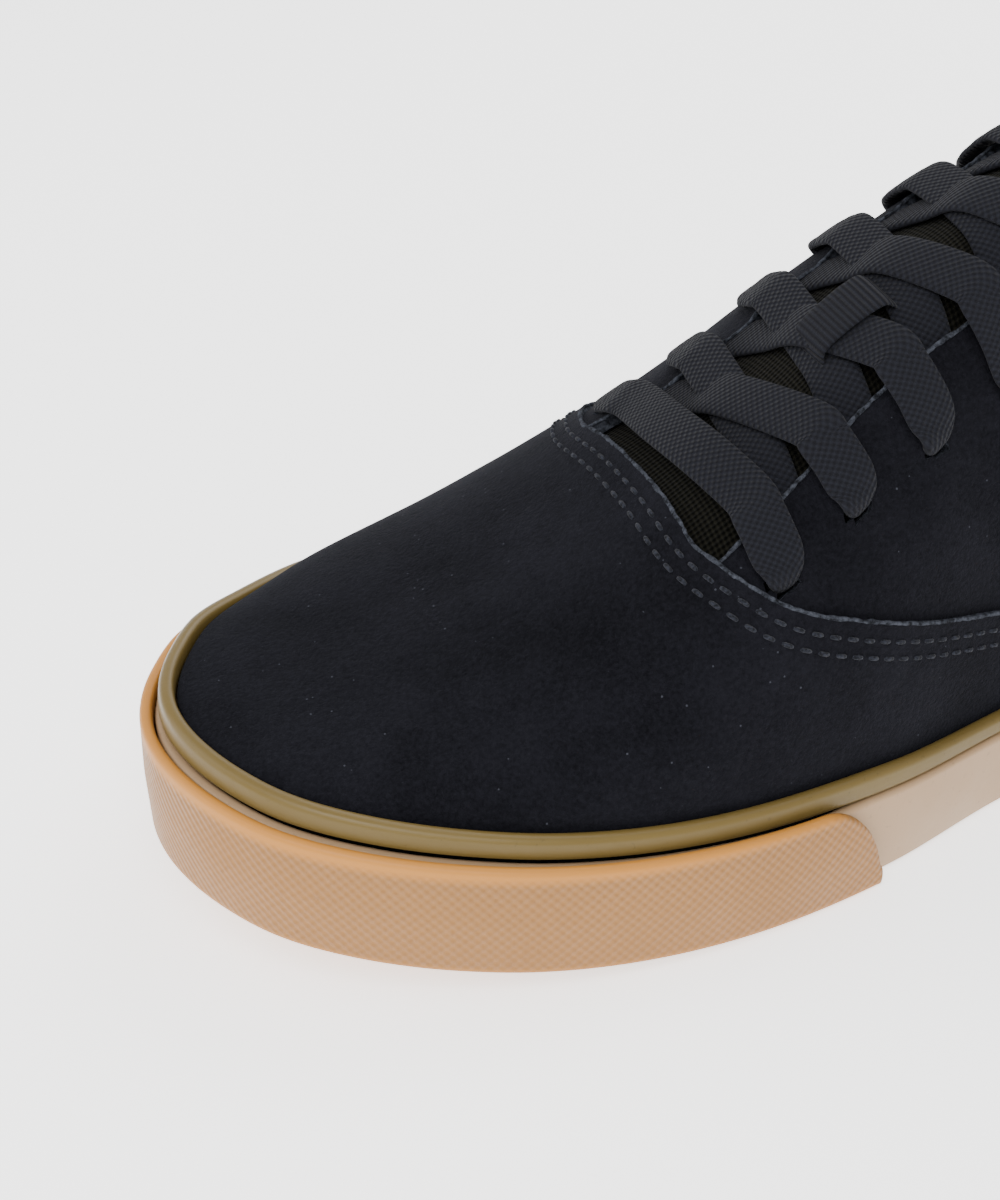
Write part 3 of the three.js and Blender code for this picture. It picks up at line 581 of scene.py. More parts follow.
def band(name, walk, section, radius, material, closed):
    """Sweeps a section of insets and heights along the outline."""
    point, normal = outline_at(walk)
    along = point[:, 0] / LENGTH
    profile = rounded(section(along, np.mod(walk, 2) < 1), radius)
    place = point[:, None] - normal[:, None] * profile[..., :1]
    points = np.concatenate([place, profile[..., 1:]], axis=2)
    samples, corners = profile.shape[:2]
    faces, row, column = grid_faces(samples, corners, wrap_rows=closed, wrap_columns=True)
    step = np.linalg.norm(np.roll(point, -1, axis=0) - point, axis=1)
    run = np.concatenate([[0], np.cumsum(step)])
    low = profile[..., 1] - ground(along)[:, None]
    uv = np.stack([run[row], low[row % samples, column % corners]], axis=-1)
    faces = faces.tolist()
    uv = uv.reshape(-1, 2).tolist()
    if not closed:
        for end, order in ((0, 1), (samples - 1, -1)):
            loop = [end * corners + i for i in range(corners)][::order]
            faces.append(loop)
            uv.extend([run[end], low[end, i % corners]] for i in loop)
    return piece_from(name, points.reshape(-1, 3), faces, [material], uv)


# Materials

def srgb(red, green, blue):
    """Linear colour of an 8-bit one."""
    share = np.array([red, green, blue]) / 255
    linear = np.where(share <= 0.04045, share / 12.92, ((share + 0.055) / 1.055) ** 2.4)
    return (*linear.tolist(), 1.0)


class Finish:
    """A material and short ways to add to its nodes."""

    def __init__(self, name, colour, roughness, **sockets):
        self.material = bpy.data.materials.new(name)
        self.material.use_nodes = True
        self.nodes = self.material.node_tree.nodes
        self.links = self.material.node_tree.links
        self.surface = self.nodes["Principled BSDF"]
        self.surface.inputs["Base Color"].default_value = colour
        self.surface.inputs["Roughness"].default_value = roughness
        for socket, value in sockets.items():
            self.surface.inputs[socket.replace("_", " ")].default_value = value
        self.material.diffuse_color = colour

    def node(self, kind, inputs=None, output=0, **settings):
        """Adds a node and gives one of its outputs."""
        node = self.nodes.new(kind)
        for key, value in settings.items():
            setattr(node, key, value)
        for key, value in (inputs or {}).items():
            self.feed(node.inputs[key], value)
        return node.outputs[output]

    def feed(self, socket, value):
        """Links or sets a socket."""
        if isinstance(value, bpy.types.NodeSocket):
            self.links.new(value, socket)
        else:
            socket.default_value = value

    def maths(self, operation, first, second=0.0, third=0.0, clamp=False):
        """One step of arithmetic."""
        inputs = {0: first, 1: second, 2: third}
        return self.node("ShaderNodeMath", inputs, operation=operation, use_clamp=clamp)

    def place(self, scale=(1, 1, 1), uv=False):
        """Object or texture place, scaled."""
        source = self.node("ShaderNodeTexCoord", output=2 if uv else 3)
        return self.node("ShaderNodeMapping", {"Vector": source, "Scale": scale})

    def noise(self, scale, detail=3.0, roughness=0.55, vector=None):
        """Noise value."""
        inputs = {"Vector": vector or self.place(), "Scale": scale, "Detail": detail, "Roughness": roughness}
        return self.node("ShaderNodeTexNoise", inputs)

    def ramp(self, value, low, high, out_low=0.0, out_high=1.0):
        """Maps a value, clamped."""
        inputs = {"Value": value, "From Min": low, "From Max": high, "To Min": out_low, "To Max": out_high}
        return self.node("ShaderNodeMapRange", inputs)

    def mix(self, factor, first, second):
        """Blends two colours."""
        inputs = {0: factor, 6: first, 7: second}
        return self.node("ShaderNodeMix", inputs, output=2, data_type="RGBA")

    def colour(self, value):
        """Feeds the base colour."""
        self.feed(self.surface.inputs["Base Color"], value)

    def rough(self, value):
        """Feeds the roughness."""
        self.feed(self.surface.inputs["Roughness"], value)

    def bump(self, height, distance, strength=1.0):
        """Feeds the normal from a height in metres times distance, on top of what is there."""
        inputs = {"Height": height, "Distance": distance, "Strength": strength}
        normal = self.surface.inputs["Normal"]
        if normal.is_linked:
            inputs["Normal"] = normal.links[0].from_socket
        self.feed(normal, self.node("ShaderNodeBump", inputs))
        return self

    def waves(self, along, across):
        """Texture place in millimetres as turns along and across."""
        parts = self.node("ShaderNodeSeparateXYZ", {0: self.place(uv=True)}).node.outputs
        u = self.maths("MULTIPLY", parts[0], 2 * math.pi / along)
        return u, self.maths("MULTIPLY", parts[1], 2 * math.pi / across)

    def braid(self, along, across):
        """Height of a weave whose threads run diagonally."""
        u, v = self.waves(along, across)
        return self.maths("MULTIPLY", self.maths("SINE", u), self.maths("SINE", v))

    def weave(self, along, across):
        """Height of a plain weave, with threads along and across."""
        u, v = self.waves(2 * along, 2 * across)
        return self.maths("MULTIPLY", self.maths("SINE", self.maths("ADD", u, v)),
                          self.maths("SINE", self.maths("SUBTRACT", u, v)))

    def ribs(self, along):
        """Height of ribs that run across."""
        return self.maths("SINE", self.waves(along, 1.0)[0])


def suede_finish(name, colour, lint):
    """Napped suede: mottled, soft, with tiny pale fibres caught in it."""
    dark = tuple(colour)
    light = tuple(channel * 3.4 for channel in dark[:3]) + (1.0,)
    finish = Finish(name, dark, 0.95, Specular_IOR_Level=0.03, Sheen_Weight=0.025, Sheen_Roughness=0.5)
    finish.surface.inputs["Sheen Tint"].default_value = (0.8, 0.84, 1.0, 1)
    mottle = finish.noise(55, 4, 0.6)
    nap = finish.noise(1500, 3, 0.7)
    shades = finish.maths("MULTIPLY_ADD", nap, 0.6, finish.maths("MULTIPLY", mottle, 0.5))
    cloth = finish.mix(finish.ramp(shades, 0.38, 0.74), dark, light)
    cells = finish.node("ShaderNodeTexVoronoi", {"Vector": finish.place(), "Scale": 520.0})
    fleck = finish.maths("LESS_THAN", cells, 0.085)
    chance = finish.maths("GREATER_THAN", finish.noise(300, 1), 0.58)
    fleck = finish.maths("MULTIPLY", finish.maths("MULTIPLY", fleck, chance), lint)
    finish.colour(finish.mix(fleck, cloth, srgb(70, 72, 80)))
    finish.bump(nap, 0.0003).bump(finish.noise(4200, 2, 0.6), 0.00008).bump(mottle, 0.0006)
    return finish.material


def cut_edge_finish():
    """Cut edge of the suede: paler, ragged."""
    finish = Finish("suede_cut_edge", srgb(44, 46, 52), 0.95, Specular_IOR_Level=0.05)
    ragged = finish.noise(1100, 4, 0.7)
    finish.colour(finish.mix(finish.ramp(ragged, 0.36, 0.66), srgb(18, 19, 22), srgb(66, 69, 77)))
    finish.bump(ragged, 0.0004)
    return finish.material


def canvas_finish():
    """Plain woven canvas."""
    finish = Finish("black_canvas", srgb(10, 10, 8), 0.92, Specular_IOR_Level=0.05, Sheen_Weight=0.02)
    weave = finish.weave(0.85, 0.85)
    finish.colour(finish.mix(finish.ramp(weave, -0.7, 0.8), srgb(3, 3, 2), srgb(27, 26, 21)))
    finish.bump(weave, 0.0002).bump(finish.noise(2500, 2), 0.00006)
    return finish.material


def lace_finish(name, ribbed):
    """Flat braided lace, or the ribbon with cross ribs."""
    finish = Finish(name, srgb(22, 23, 28), 0.85, Specular_IOR_Level=0.07, Sheen_Weight=0.03)
    weave = finish.ribs(0.9) if ribbed else finish.braid(1.1, 1.3)
    fray = finish.noise(1800, 3)
    finish.colour(finish.mix(finish.ramp(weave, -0.9, 0.9), srgb(18, 18, 22), srgb(28, 29, 35)))
    finish.bump(weave, 0.00016).bump(fray, 0.00012)
    return finish.material


def rubber_finish(name, face, edge, low, high, roughness=0.42, hatch=0.0):
    """Gum rubber: an edge tone at its rims, which along the top rim is a painted highlight, optional fine
    diagonal hatch between two heights.
    """
    finish = Finish(name, face, roughness, Specular_IOR_Level=0.25, Coat_Weight=0.04, Coat_Roughness=0.35)
    height = finish.node("ShaderNodeSeparateXYZ", {0: finish.place(uv=True)}, output=1)
    # Rim mask: the brighter orange along the top rim is a painted highlight, where a rounded edge would catch
    # the light; the bottom rim gets the same tone
    rim_and_highlight_mask = finish.maths("SUBTRACT", 1.0, finish.ramp(height, low, low + 1.6))
    rim_and_highlight_mask = finish.maths("MAXIMUM", rim_and_highlight_mask, finish.ramp(height, high - 3.0, high - 1.4))
    cloud = finish.noise(18, 3)
    tone = finish.mix(finish.ramp(cloud, 0.35, 0.7), face, tuple(c * 0.88 for c in face[:3]) + (1.0,))
    speck = finish.ramp(finish.noise(900, 3, 0.7), 0.62, 0.7)
    tone = finish.mix(finish.maths("MULTIPLY", speck, 0.35), tone, tuple(c * 0.5 for c in face[:3]) + (1.0,))
    if hatch:
        lines = finish.braid(1.7, 1.7)
        shade = tuple(c * 0.78 for c in face[:3]) + (1.0,)
        tone = finish.mix(finish.ramp(lines, -1, 1, 0.0, 0.6), tone, shade)
        finish.bump(finish.maths("MULTIPLY", lines, finish.maths("SUBTRACT", 1.0, rim_and_highlight_mask)), hatch)
    # Painted highlight: the orange edge tone laid over the top rim, and the same tone over the bottom rim
    finish.colour(finish.mix(finish.maths("MULTIPLY", rim_and_highlight_mask, 0.9), tone, edge))
    finish.rough(finish.ramp(finish.noise(90, 4), 0.3, 0.7, roughness - 0.06, roughness + 0.08))
    finish.bump(finish.noise(700, 3), 0.00004)
    return finish.material


def cloth_finish(name, shade, light, pitch):
    """Plain lining cloth placed on the object, for what has no texture place."""
    finish = Finish(name, shade, 0.92, Specular_IOR_Level=0.12, Sheen_Weight=0.05)
    grain = finish.noise(1000 / pitch, 2)
    finish.colour(finish.mix(finish.ramp(grain, 0.35, 0.65), shade, light))
    finish.bump(grain, 0.0002)
    return finish.material


# Settings that a user would change

class ShoeSizes(bpy.types.PropertyGroup):
    """Sizes of the parts that only show."""

    lace_width: FloatProperty(name="Lace width", description="Width of the flat lace, mm", default=7.8)
    lace_thickness: FloatProperty(name="Lace thickness", description="Thickness of the lace, mm", default=1.5)
    stitch_length: FloatProperty(name="Stitch", description="Length of one stitch, mm", default=2.1)
    stitch_pitch: FloatProperty(
        name="Stitch pitch", description="From one stitch to the next, mm", default=3.0)
    thread: FloatProperty(name="Thread", description="Thickness of the thread, mm", default=0.7)
    padding: FloatProperty(
        name="Collar padding", description="Thickness of the padded collar, mm", default=6.5)
    samples: IntProperty(name="Samples", description="Samples round the sole", default=440)
    lint: FloatProperty(name="Lint", description="Strength of the pale fibres in the suede", default=0.5)


class ShoeColours(bpy.types.PropertyGroup):
    """Colours of the finishes."""

    gum: FloatVectorProperty(
        name="Gum", description="Toe bumper", subtype="COLOR", size=4, default=srgb(152, 107, 58))
    # Orange gum: the outsole's own colour, and on the toe bumper's top rim a painted highlight
    orange_gum_and_rim_highlight: FloatVectorProperty(
        name="Gum edge", description="Rims of the toe bumper", subtype="COLOR", size=4,
        default=srgb(180, 120, 47))
    pale_gum: FloatVectorProperty(
        name="Pale gum", description="Lower tape", subtype="COLOR", size=4, default=srgb(164, 135, 103))
    khaki_gum: FloatVectorProperty(
        name="Khaki gum", description="Upper strip", subtype="COLOR", size=4, default=srgb(99, 82, 42))
    suede: FloatVectorProperty(
        name="Suede", description="Vamp and quarters", subtype="COLOR", size=4, default=srgb(9, 9, 12))


FINISHES = {}


def make_finishes(colours, sizes):
    """Makes every material once."""
    if FINISHES:
        return FINISHES
    gum, orange_gum_and_rim_highlight = tuple(colours.gum), tuple(colours.orange_gum_and_rim_highlight)
    pale, khaki = tuple(colours.pale_gum), tuple(colours.khaki_gum)
    FINISHES.update(
        suede=suede_finish("black_suede", colours.suede, sizes.lint),
        cut_edge=cut_edge_finish(),
        canvas=canvas_finish(),
        lace=lace_finish("flat_lace", ribbed=False),
        ribbon=lace_finish("ribbed_ribbon", ribbed=True),
        thread=cloth_finish("thread", srgb(14, 15, 19), srgb(40, 42, 50), 0.4),
        lining=cloth_finish("lining", srgb(10, 10, 11), srgb(26, 26, 27), 0.9),
        footbed=cloth_finish("footbed", srgb(16, 16, 18), srgb(36, 36, 38), 0.7),
        # Toe bumper: the orange gum along its top rim is a painted highlight; its bottom rim takes the same
        # orange
        gum=rubber_finish("gum", gum, orange_gum_and_rim_highlight, 0.3, BUMPER_HEIGHT, 0.45, hatch=0.00014),
        pale_gum=rubber_finish("pale_gum", pale, pale, -9, 90, 0.4),
        khaki_gum=rubber_finish("khaki_gum", khaki, khaki, -9, 90, 0.36),
        tread_gum=rubber_finish("tread_gum", orange_gum_and_rim_highlight, orange_gum_and_rim_highlight, -9, 90, 0.5),
    )
    return FINISHES


class ShoeOperator:
    """What the building operators share."""

    bl_options = {"REGISTER", "UNDO"}

    def execute(self, context):
        """Builds the pieces with the scene's settings."""
        sizes = context.scene.shoe_sizes
        finishes = make_finishes(context.scene.shoe_colours, sizes)
        self.build(sizes, SimpleNamespace(**finishes))
        return {"FINISHED"}


# Sole

class SHOE_OT_sole(ShoeOperator, bpy.types.Operator):
    """Build the two tapes and the toe bumper, and finish the outsole"""

    bl_idname = "shoe.sole"
    bl_label = "Sole"

    GROOVE = 0.7

    def build(self, sizes, finishes):
        around = np.arange(sizes.samples) * 2 / sizes.samples
        tape = band("lower_tape", around, self.tape_section, 0.7, finishes.pale_gum, closed=True)
        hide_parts("foxing_lower")
        strip = band("upper_strip", around, self.strip_section, 1.0, finishes.khaki_gum, closed=True)
        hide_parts("foxing_upper")
        start = turn_at(BUMPER_END_MEDIAL)
        finish = 2 - turn_at(BUMPER_END_LATERAL)
        ends = float(turn_at(BUMPER_END_MEDIAL + BUMPER_END_LENGTH) - start)
        fine = sizes.samples // 14
        walk = np.concatenate([
            start + ends * np.linspace(0, 1, fine, endpoint=False) ** 2,
            np.linspace(start + ends, finish - ends, sizes.samples, endpoint=False),
            finish - ends * np.linspace(1, 0, fine) ** 2,
        ])
        bumper = band("toe_tape", walk, self.bumper_section, 0.9, finishes.gum, closed=False)
        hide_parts("toe_bumper")
        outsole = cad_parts["outsole"]
        for slot in outsole.material_slots:
            slot.material = finishes.tread_gum

    @staticmethod
    def rows(*corners):
        """Stacks corner columns into samples x corners x 2."""
        return np.stack([np.stack(np.broadcast_arrays(inset, z), axis=-1) for inset, z in corners], axis=1)

    def tape_section(self, along, medial):
        low = ground(along) + TAPE_LIFT
        end = np.where(medial, BUMPER_END_MEDIAL, BUMPER_END_LATERAL)
        top = tape_top(along) - self.GROOVE * smoothstep(along, end, end + BUMPER_END_LENGTH)
        return self.rows((TAPE_OUT + 0.2, low), (TAPE_OUT, lerp(low, top, 0.5)), (TAPE_OUT, top),
                         (TAPE_IN, top), (TAPE_IN, low))

    def strip_section(self, along, medial):
        low = tape_top(along) + CLEARANCE
        top = strip_top(along)
        inner = STRIP_IN + VAMP_STEP * (1 - smoothstep(along, VAMP_TIP, VAMP_TIP + VAMP_BLEND))
        return self.rows((STRIP_OUT, low), (STRIP_OUT + 0.1, lerp(low, top, 0.5)),
                         (STRIP_OUT + STRIP_LEAN, top), (inner, top), (inner, low))

    def bumper_section(self, along, medial):
        low = ground(along) + BUMPER_LIFT
        full = BUMPER_HEIGHT * lerp(tape_share(along), 1, 0.5)
        end = np.where(medial, BUMPER_END_MEDIAL, BUMPER_END_LATERAL)
        fall = np.clip((along - end) / BUMPER_END_LENGTH, 0, 1)
        height = full * np.sqrt(1 - (1 - np.maximum(fall, BUMPER_END_SQUARE)) ** 2)
        top = ground(along) + height
        return self.rows((0, low), (-BUMPER_BULGE, lerp(low, top, 0.5)), (0, top),
                         (BUMPER_THICKNESS, top), (BUMPER_THICKNESS, low))


# Upper

HEEL_MARGIN = 0.01
QUARTER_COLUMNS = 190
QUARTER_ROWS = 70
QUARTER_TUCK = 9
HOLE_SNAP = 0.45


COLLAR_RUN_BACK = 12
CORNER_SOFTNESS = 0.05
FLAP_LIFT = 0.9
FLAP_FADE = 7
FLAP_REAR = 6
FLAP_FRONT = 8


def top_angle(x, medial):
    """Angle of the quarters' top edge: the collar's line or the throat's edge, whichever is lower."""
    collar = quarters.angle_at_height(x, COLLAR_HEIGHT * collar_share(x / LENGTH))
    throat = quarters.angle_at_reach(x, medial, throat_gap(np.minimum(x, THROAT_START_X)))
    throat = np.where(x < THROAT_END_X - COLLAR_RUN_BACK, math.pi / 2, throat)
    soft = CORNER_SOFTNESS
    return -soft * np.log(np.exp(-collar / soft) + np.exp(-throat / soft))


def flap_wave(points, medial):
    """Lifts the flap's edge a little between the laces, which pull it down at each eyelet."""
    edge = np.abs(points[..., 1] - ridge_y(points[..., 0])) - throat_gap(points[..., 0])
    near = np.exp(-np.maximum(edge, 0) / FLAP_FADE) * (points[..., 0] > THROAT_END_X - FLAP_REAR)
    rows = EYELETS[1 if medial else -1][:, 0]
    turns = np.interp(-points[..., 0], -rows, np.arange(EYELET_ROWS))
    inside = (points[..., 0] < rows[0] + FLAP_FRONT) & (points[..., 0] > rows[-1])
    return near * inside * FLAP_LIFT * (0.5 - 0.5 * np.cos(2 * math.pi * turns))


def surface_normals(points):
    """Outward normals of a grid of points."""
    across = np.gradient(points, axis=0)
    along = np.gradient(points, axis=1)
    normal = np.cross(across, along)
    normal /= np.maximum(np.linalg.norm(normal, axis=-1, keepdims=True), 1e-9)
    return normal


def quarter_half(medial):
    """Grid of one quarter, from its lower edge up to the collar and throat, heel to throat."""
    turn = np.linspace(turn_at((quarters.sides.heel + HEEL_MARGIN) / LENGTH),
                       turn_at((THROAT_START_X + QUARTER_TUCK) / LENGTH), QUARTER_COLUMNS)
    x = LENGTH * along_at(turn)
    angle = top_angle(x, medial)[:, None] * np.linspace(0, 1, QUARTER_ROWS)
    points = quarters.point(x[:, None], angle, medial)
    outward = surface_normals(points) * (1 if medial else -1)
    return points + outward * flap_wave(points, medial)[..., None], outward


class SHOE_OT_quarters(ShoeOperator, bpy.types.Operator):
    """Build the quarters, one sheet round the heel with the punched eyelets"""

    bl_idname = "shoe.quarters"
    bl_label = "Quarters"

    def build(self, sizes, finishes):
        halves = [quarter_half(medial)[0] for medial in (False, True)]
        points = np.concatenate([halves[0][::-1], halves[1][1:]])
        faces, row, column = grid_faces(*points.shape[:2])
        flat = points.reshape(-1, 3)
        dropped = np.zeros(len(flat), bool)
        for place in np.vstack([EYELETS[1], EYELETS[-1]]):
            away = flat - place
            distance = np.linalg.norm(away, axis=1)
            dropped |= distance < EYELET_RADIUS - HOLE_SNAP
            snapped = (distance >= EYELET_RADIUS - HOLE_SNAP) & (distance < EYELET_RADIUS + HOLE_SNAP)
            flat[snapped] = place + away[snapped] / distance[snapped, None] * EYELET_RADIUS
        kept = ~dropped[faces].any(axis=1)
        uv = np.stack([row, column], axis=-1)[kept].reshape(-1, 2)
        number = np.cumsum(~dropped) - 1
        shell = piece_from("quarters", flat[~dropped], number[faces[kept]],
                           [finishes.suede, finishes.cut_edge, finishes.lining], uv)
        thicken(shell, WALL, rim_slot=1, inside_slot=2)
        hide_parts("upper")


VAMP_WING_ROWS = 30
VAMP_TOP_ROWS = 44
VAMP_WING_COLUMNS = 120
VAMP_FRONT_COLUMNS = 130


def vamp_edge_angle(x):
    """Angle of the vamp's rear edge on its own surface."""
    return vamp_form.angle_at_height(x, INSTEP_HEIGHT * vamp_share(x / LENGTH))


def smooth_run(values, passes):
    """Softens a run of points, with its ends kept."""
    values = values.copy()
    for _ in range(passes):
        values[1:-1] = (values[:-2] + 2 * values[1:-1] + values[2:]) / 4
    return values


class SHOE_OT_vamp(ShoeOperator, bpy.types.Operator):
    """Build the vamp with its two wings, over the quarters"""

    bl_idname = "shoe.vamp"
    bl_label = "Vamp"

    WING_END = 0.425

    def build(self, sizes, finishes):
        wing_turn = np.linspace(turn_at(self.WING_END), turn_at(THROAT_BASE), VAMP_WING_COLUMNS)
        toe_turn = turn_at(vamp_form.sides.toe / LENGTH)
        front_turn = np.linspace(turn_at(THROAT_BASE), toe_turn, VAMP_FRONT_COLUMNS)
        turn = np.concatenate([wing_turn, front_turn[1:]])
        x = LENGTH * along_at(turn)
        front = np.clip((x - THROAT_START_X) / (vamp_form.sides.toe - THROAT_START_X), 0, 1)
        even = math.pi / 2 * VAMP_WING_ROWS / (VAMP_WING_ROWS + VAMP_TOP_ROWS / 2)
        edge = lerp(vamp_edge_angle(np.minimum(x, THROAT_START_X)), even, smoothstep(front, 0, 1))
        wing = edge[:, None] * np.linspace(0, 1, VAMP_WING_ROWS + 1)
        medial_wing = vamp_form.point(x[:, None], wing, True)
        lateral_wing = vamp_form.point(x[:, None], wing[:, ::-1], False)
        half = np.linspace(0, 1, VAMP_TOP_ROWS // 2 + 1)
        top = edge[:, None] + (math.pi / 2 - edge[:, None]) * half
        medial_top = vamp_form.point(x[:, None], top[:, 1:], True)
        lateral_top = vamp_form.point(x[:, None], top[:, ::-1][:, 1:-1], False)
        points = np.concatenate([medial_wing, medial_top, lateral_top, lateral_wing], axis=1)
        toe = points[-1]
        toe[:, 1] = (vamp_form.sides.medial(x[-1]) + vamp_form.sides.lateral(x[-1])) / 2
        toe[:, 2] = strip_top(x[-1] / LENGTH) - ARC_START
        faces, row, column = grid_faces(*points.shape[:2])
        over_throat = (column.min(axis=1) >= VAMP_WING_ROWS) & \
            (column.max(axis=1) <= points.shape[1] - 1 - VAMP_WING_ROWS)
        kept = ~(over_throat & (row.max(axis=1) < VAMP_WING_COLUMNS))
        used = np.zeros(points.shape[0] * points.shape[1], bool)
        used[faces[kept]] = True
        number = np.cumsum(used) - 1
        uv = np.stack([row, column], axis=-1)[kept].reshape(-1, 2)
        shell = piece_from("vamp", points.reshape(-1, 3)[used], number[faces[kept]],
                           [finishes.suede, finishes.cut_edge, finishes.lining], uv)
        thicken(shell, WALL, rim_slot=1, inside_slot=2)
        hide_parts("upper")


class SHOE_OT_edges(ShoeOperator, bpy.types.Operator):
    """Fray the raw cut edges of the vamp and of the two flaps"""

    bl_idname = "shoe.edges"
    bl_label = "Raw edges"

    STEP = 0.45
    WIDTH = 0.65
    THICKNESS = 0.55
    SINK = 0.14
    RAGGED = 0.2
    SIDEWAYS = 0.07
    UPWARDS = 0.05
    SEED = 11

    def bead(self, name, line, up, finishes):
        """Ragged bead along an edge."""
        dice = np.random.default_rng(self.SEED)
        both = evenly(np.hstack([line, up]), self.STEP)
        line, up = both[:, :3], both[:, 3:]
        up /= np.linalg.norm(up, axis=1, keepdims=True)
        wide = np.cross(np.gradient(smooth_run(line, 8), axis=0), up)
        wide /= np.linalg.norm(wide, axis=1, keepdims=True)
        shake = smooth_run(dice.normal(0, 1, (len(line), 3)), 1)
        centre = line - up * self.SINK
        centre = centre + wide * shake[:, :1] * self.SIDEWAYS + up * shake[:, 1:2] * self.UPWARDS
        size = self.WIDTH * (1 + self.RAGGED * shake[:, 2])
        thick = size * self.THICKNESS / self.WIDTH
        bead = strip_along(name, centre, wide, size, thick, finishes.cut_edge, sides=8)

    def build(self, sizes, finishes):
        self.bead("vamp_raw_edge", *vamp_path(0), finishes)
        for medial, side in ((True, "medial"), (False, "lateral")):
            points, outward = quarter_half(medial)
            edge = points[:, -1]
            flap = (edge[:, 0] > THROAT_END_X) & (edge[:, 0] < THROAT_START_X + 1)
            self.bead(f"{side}_flap_raw_edge", edge[flap], outward[flap, -1], finishes)


class SHOE_OT_backstay(ShoeOperator, bpy.types.Operator):
    """Build the strip that covers the back seam"""

    bl_idname = "shoe.backstay"
    bl_label = "Backstay"

    REACH = 0.072
    ROWS = 40
    BELOW_COLLAR = 1.5
    LOW_HALF_WIDTH = 10
    EDGE_MARGIN = 0.5

    def build(self, sizes, finishes):
        form = Last(CLEARANCE + BACKSTAY_THICKNESS)
        heel = form.sides.heel
        turn = np.linspace(turn_at((heel + HEEL_MARGIN) / LENGTH), turn_at(self.REACH), self.ROWS)
        x = LENGTH * along_at(turn)
        low = form.angle_at_height(x, strip_top(0) + CLEARANCE)
        high = form.angle_at_height(x, COLLAR_HEIGHT * collar_share(x / LENGTH) - self.BELOW_COLLAR)
        share = np.linspace(0, 1, self.ROWS)
        halves = []
        for medial in (False, True):
            angle = low[:, None] + (high - low)[:, None] * share
            halves.append(form.point(x[:, None], angle, medial))
        points = np.concatenate([halves[0][::-1], halves[1][1:]])
        half_width = lerp(self.LOW_HALF_WIDTH, BACKSTAY_WIDTH / 2, share[None, :])
        keep = np.abs(points[..., 1]) <= half_width + self.EDGE_MARGIN
        points[..., 1] = np.clip(points[..., 1], -half_width, half_width)
        faces, row, column = grid_faces(*points.shape[:2])
        kept = keep.reshape(-1)[faces].any(axis=1)
        used = np.zeros(keep.size, bool)
        used[faces[kept]] = True
        number = np.cumsum(used) - 1
        uv = np.stack([row, column], axis=-1)[kept].reshape(-1, 2)
        strip = piece_from("backstay_strip", points.reshape(-1, 3)[used], number[faces[kept]],
                           [finishes.suede, finishes.cut_edge], uv)
        thicken(strip, BACKSTAY_THICKNESS, rim_slot=1)
        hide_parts("backstay")


# Tongue, collar and insole

class SHOE_OT_tongue(ShoeOperator, bpy.types.Operator):
    """Build the padded canvas tongue"""

    bl_idname = "shoe.tongue"
    bl_label = "Tongue"

    ROWS = 150
    COLUMNS = 61
    CLOTH_HALF_WIDTH = 26
    FLARE_POWER = 3
    END_ROUNDNESS = 16
    EDGE_ROUNDNESS = 8

    def build(self, sizes, finishes):
        share = np.linspace(0, 1, self.ROWS)
        x = LENGTH * lerp(TONGUE_START, TONGUE_END, share)
        section = tongue_form.section(x)
        across = np.linspace(-1, 1, self.COLUMNS)
        flare = throat_gap(x) + TONGUE_OVERLAP + TONGUE_TOP_FLARE * share ** self.FLARE_POWER
        half = np.minimum(flare[:, None], TONGUE_FIT * tongue_form.reach(
            SimpleNamespace(**{key: value[:, None] for key, value in vars(section).items()}),
            across > 0, BELLY_ANGLE))
        y = ridge_y(x)[:, None] + across * half
        height = tongue_form.height(np.broadcast_to(x[:, None], y.shape), y)
        normal = tongue_form.normal(np.broadcast_to(x[:, None], y.shape), y)
        top = np.stack(np.broadcast_arrays(x[:, None], y, height), axis=-1)
        thick = lerp(TONGUE_BASE_THICKNESS, TONGUE_TOP_THICKNESS, share)[:, None]
        depth = thick * (1 - TONGUE_EDGE_THINNING * across ** 2)
        ends = np.sqrt(np.clip(1 - ((share - 0.5) / 0.5) ** self.END_ROUNDNESS, 0, 1))[:, None]
        edges = np.sqrt(np.clip(1 - np.abs(across) ** self.EDGE_ROUNDNESS, 0, 1))
        middle = top - normal * depth[..., None] / 2
        outer = middle + normal * (depth / 2 * ends * edges)[..., None]
        inner = middle - normal * (depth / 2 * ends * edges)[..., None]
        points = np.concatenate([outer, inner[:, ::-1][:, 1:-1]], axis=1)
        faces, row, column = grid_faces(*points.shape[:2], wrap_columns=True)
        spine = top[:, self.COLUMNS // 2]
        run = np.concatenate([[0], np.cumsum(np.linalg.norm(np.diff(spine, axis=0), axis=1))])
        width = np.concatenate([across, across[::-1][1:]]) * self.CLOTH_HALF_WIDTH
        width = np.append(width, width[0])
        uv = np.stack([run[row], width[np.minimum(column, len(width) - 1)]], axis=-1).reshape(-1, 2)
        tongue = piece_from("padded_tongue", points.reshape(-1, 3), faces[:, ::-1], [finishes.canvas],
                            uv.reshape(-1, 4, 2)[:, ::-1].reshape(-1, 2), sharp=math.radians(80))
        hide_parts("tongue")


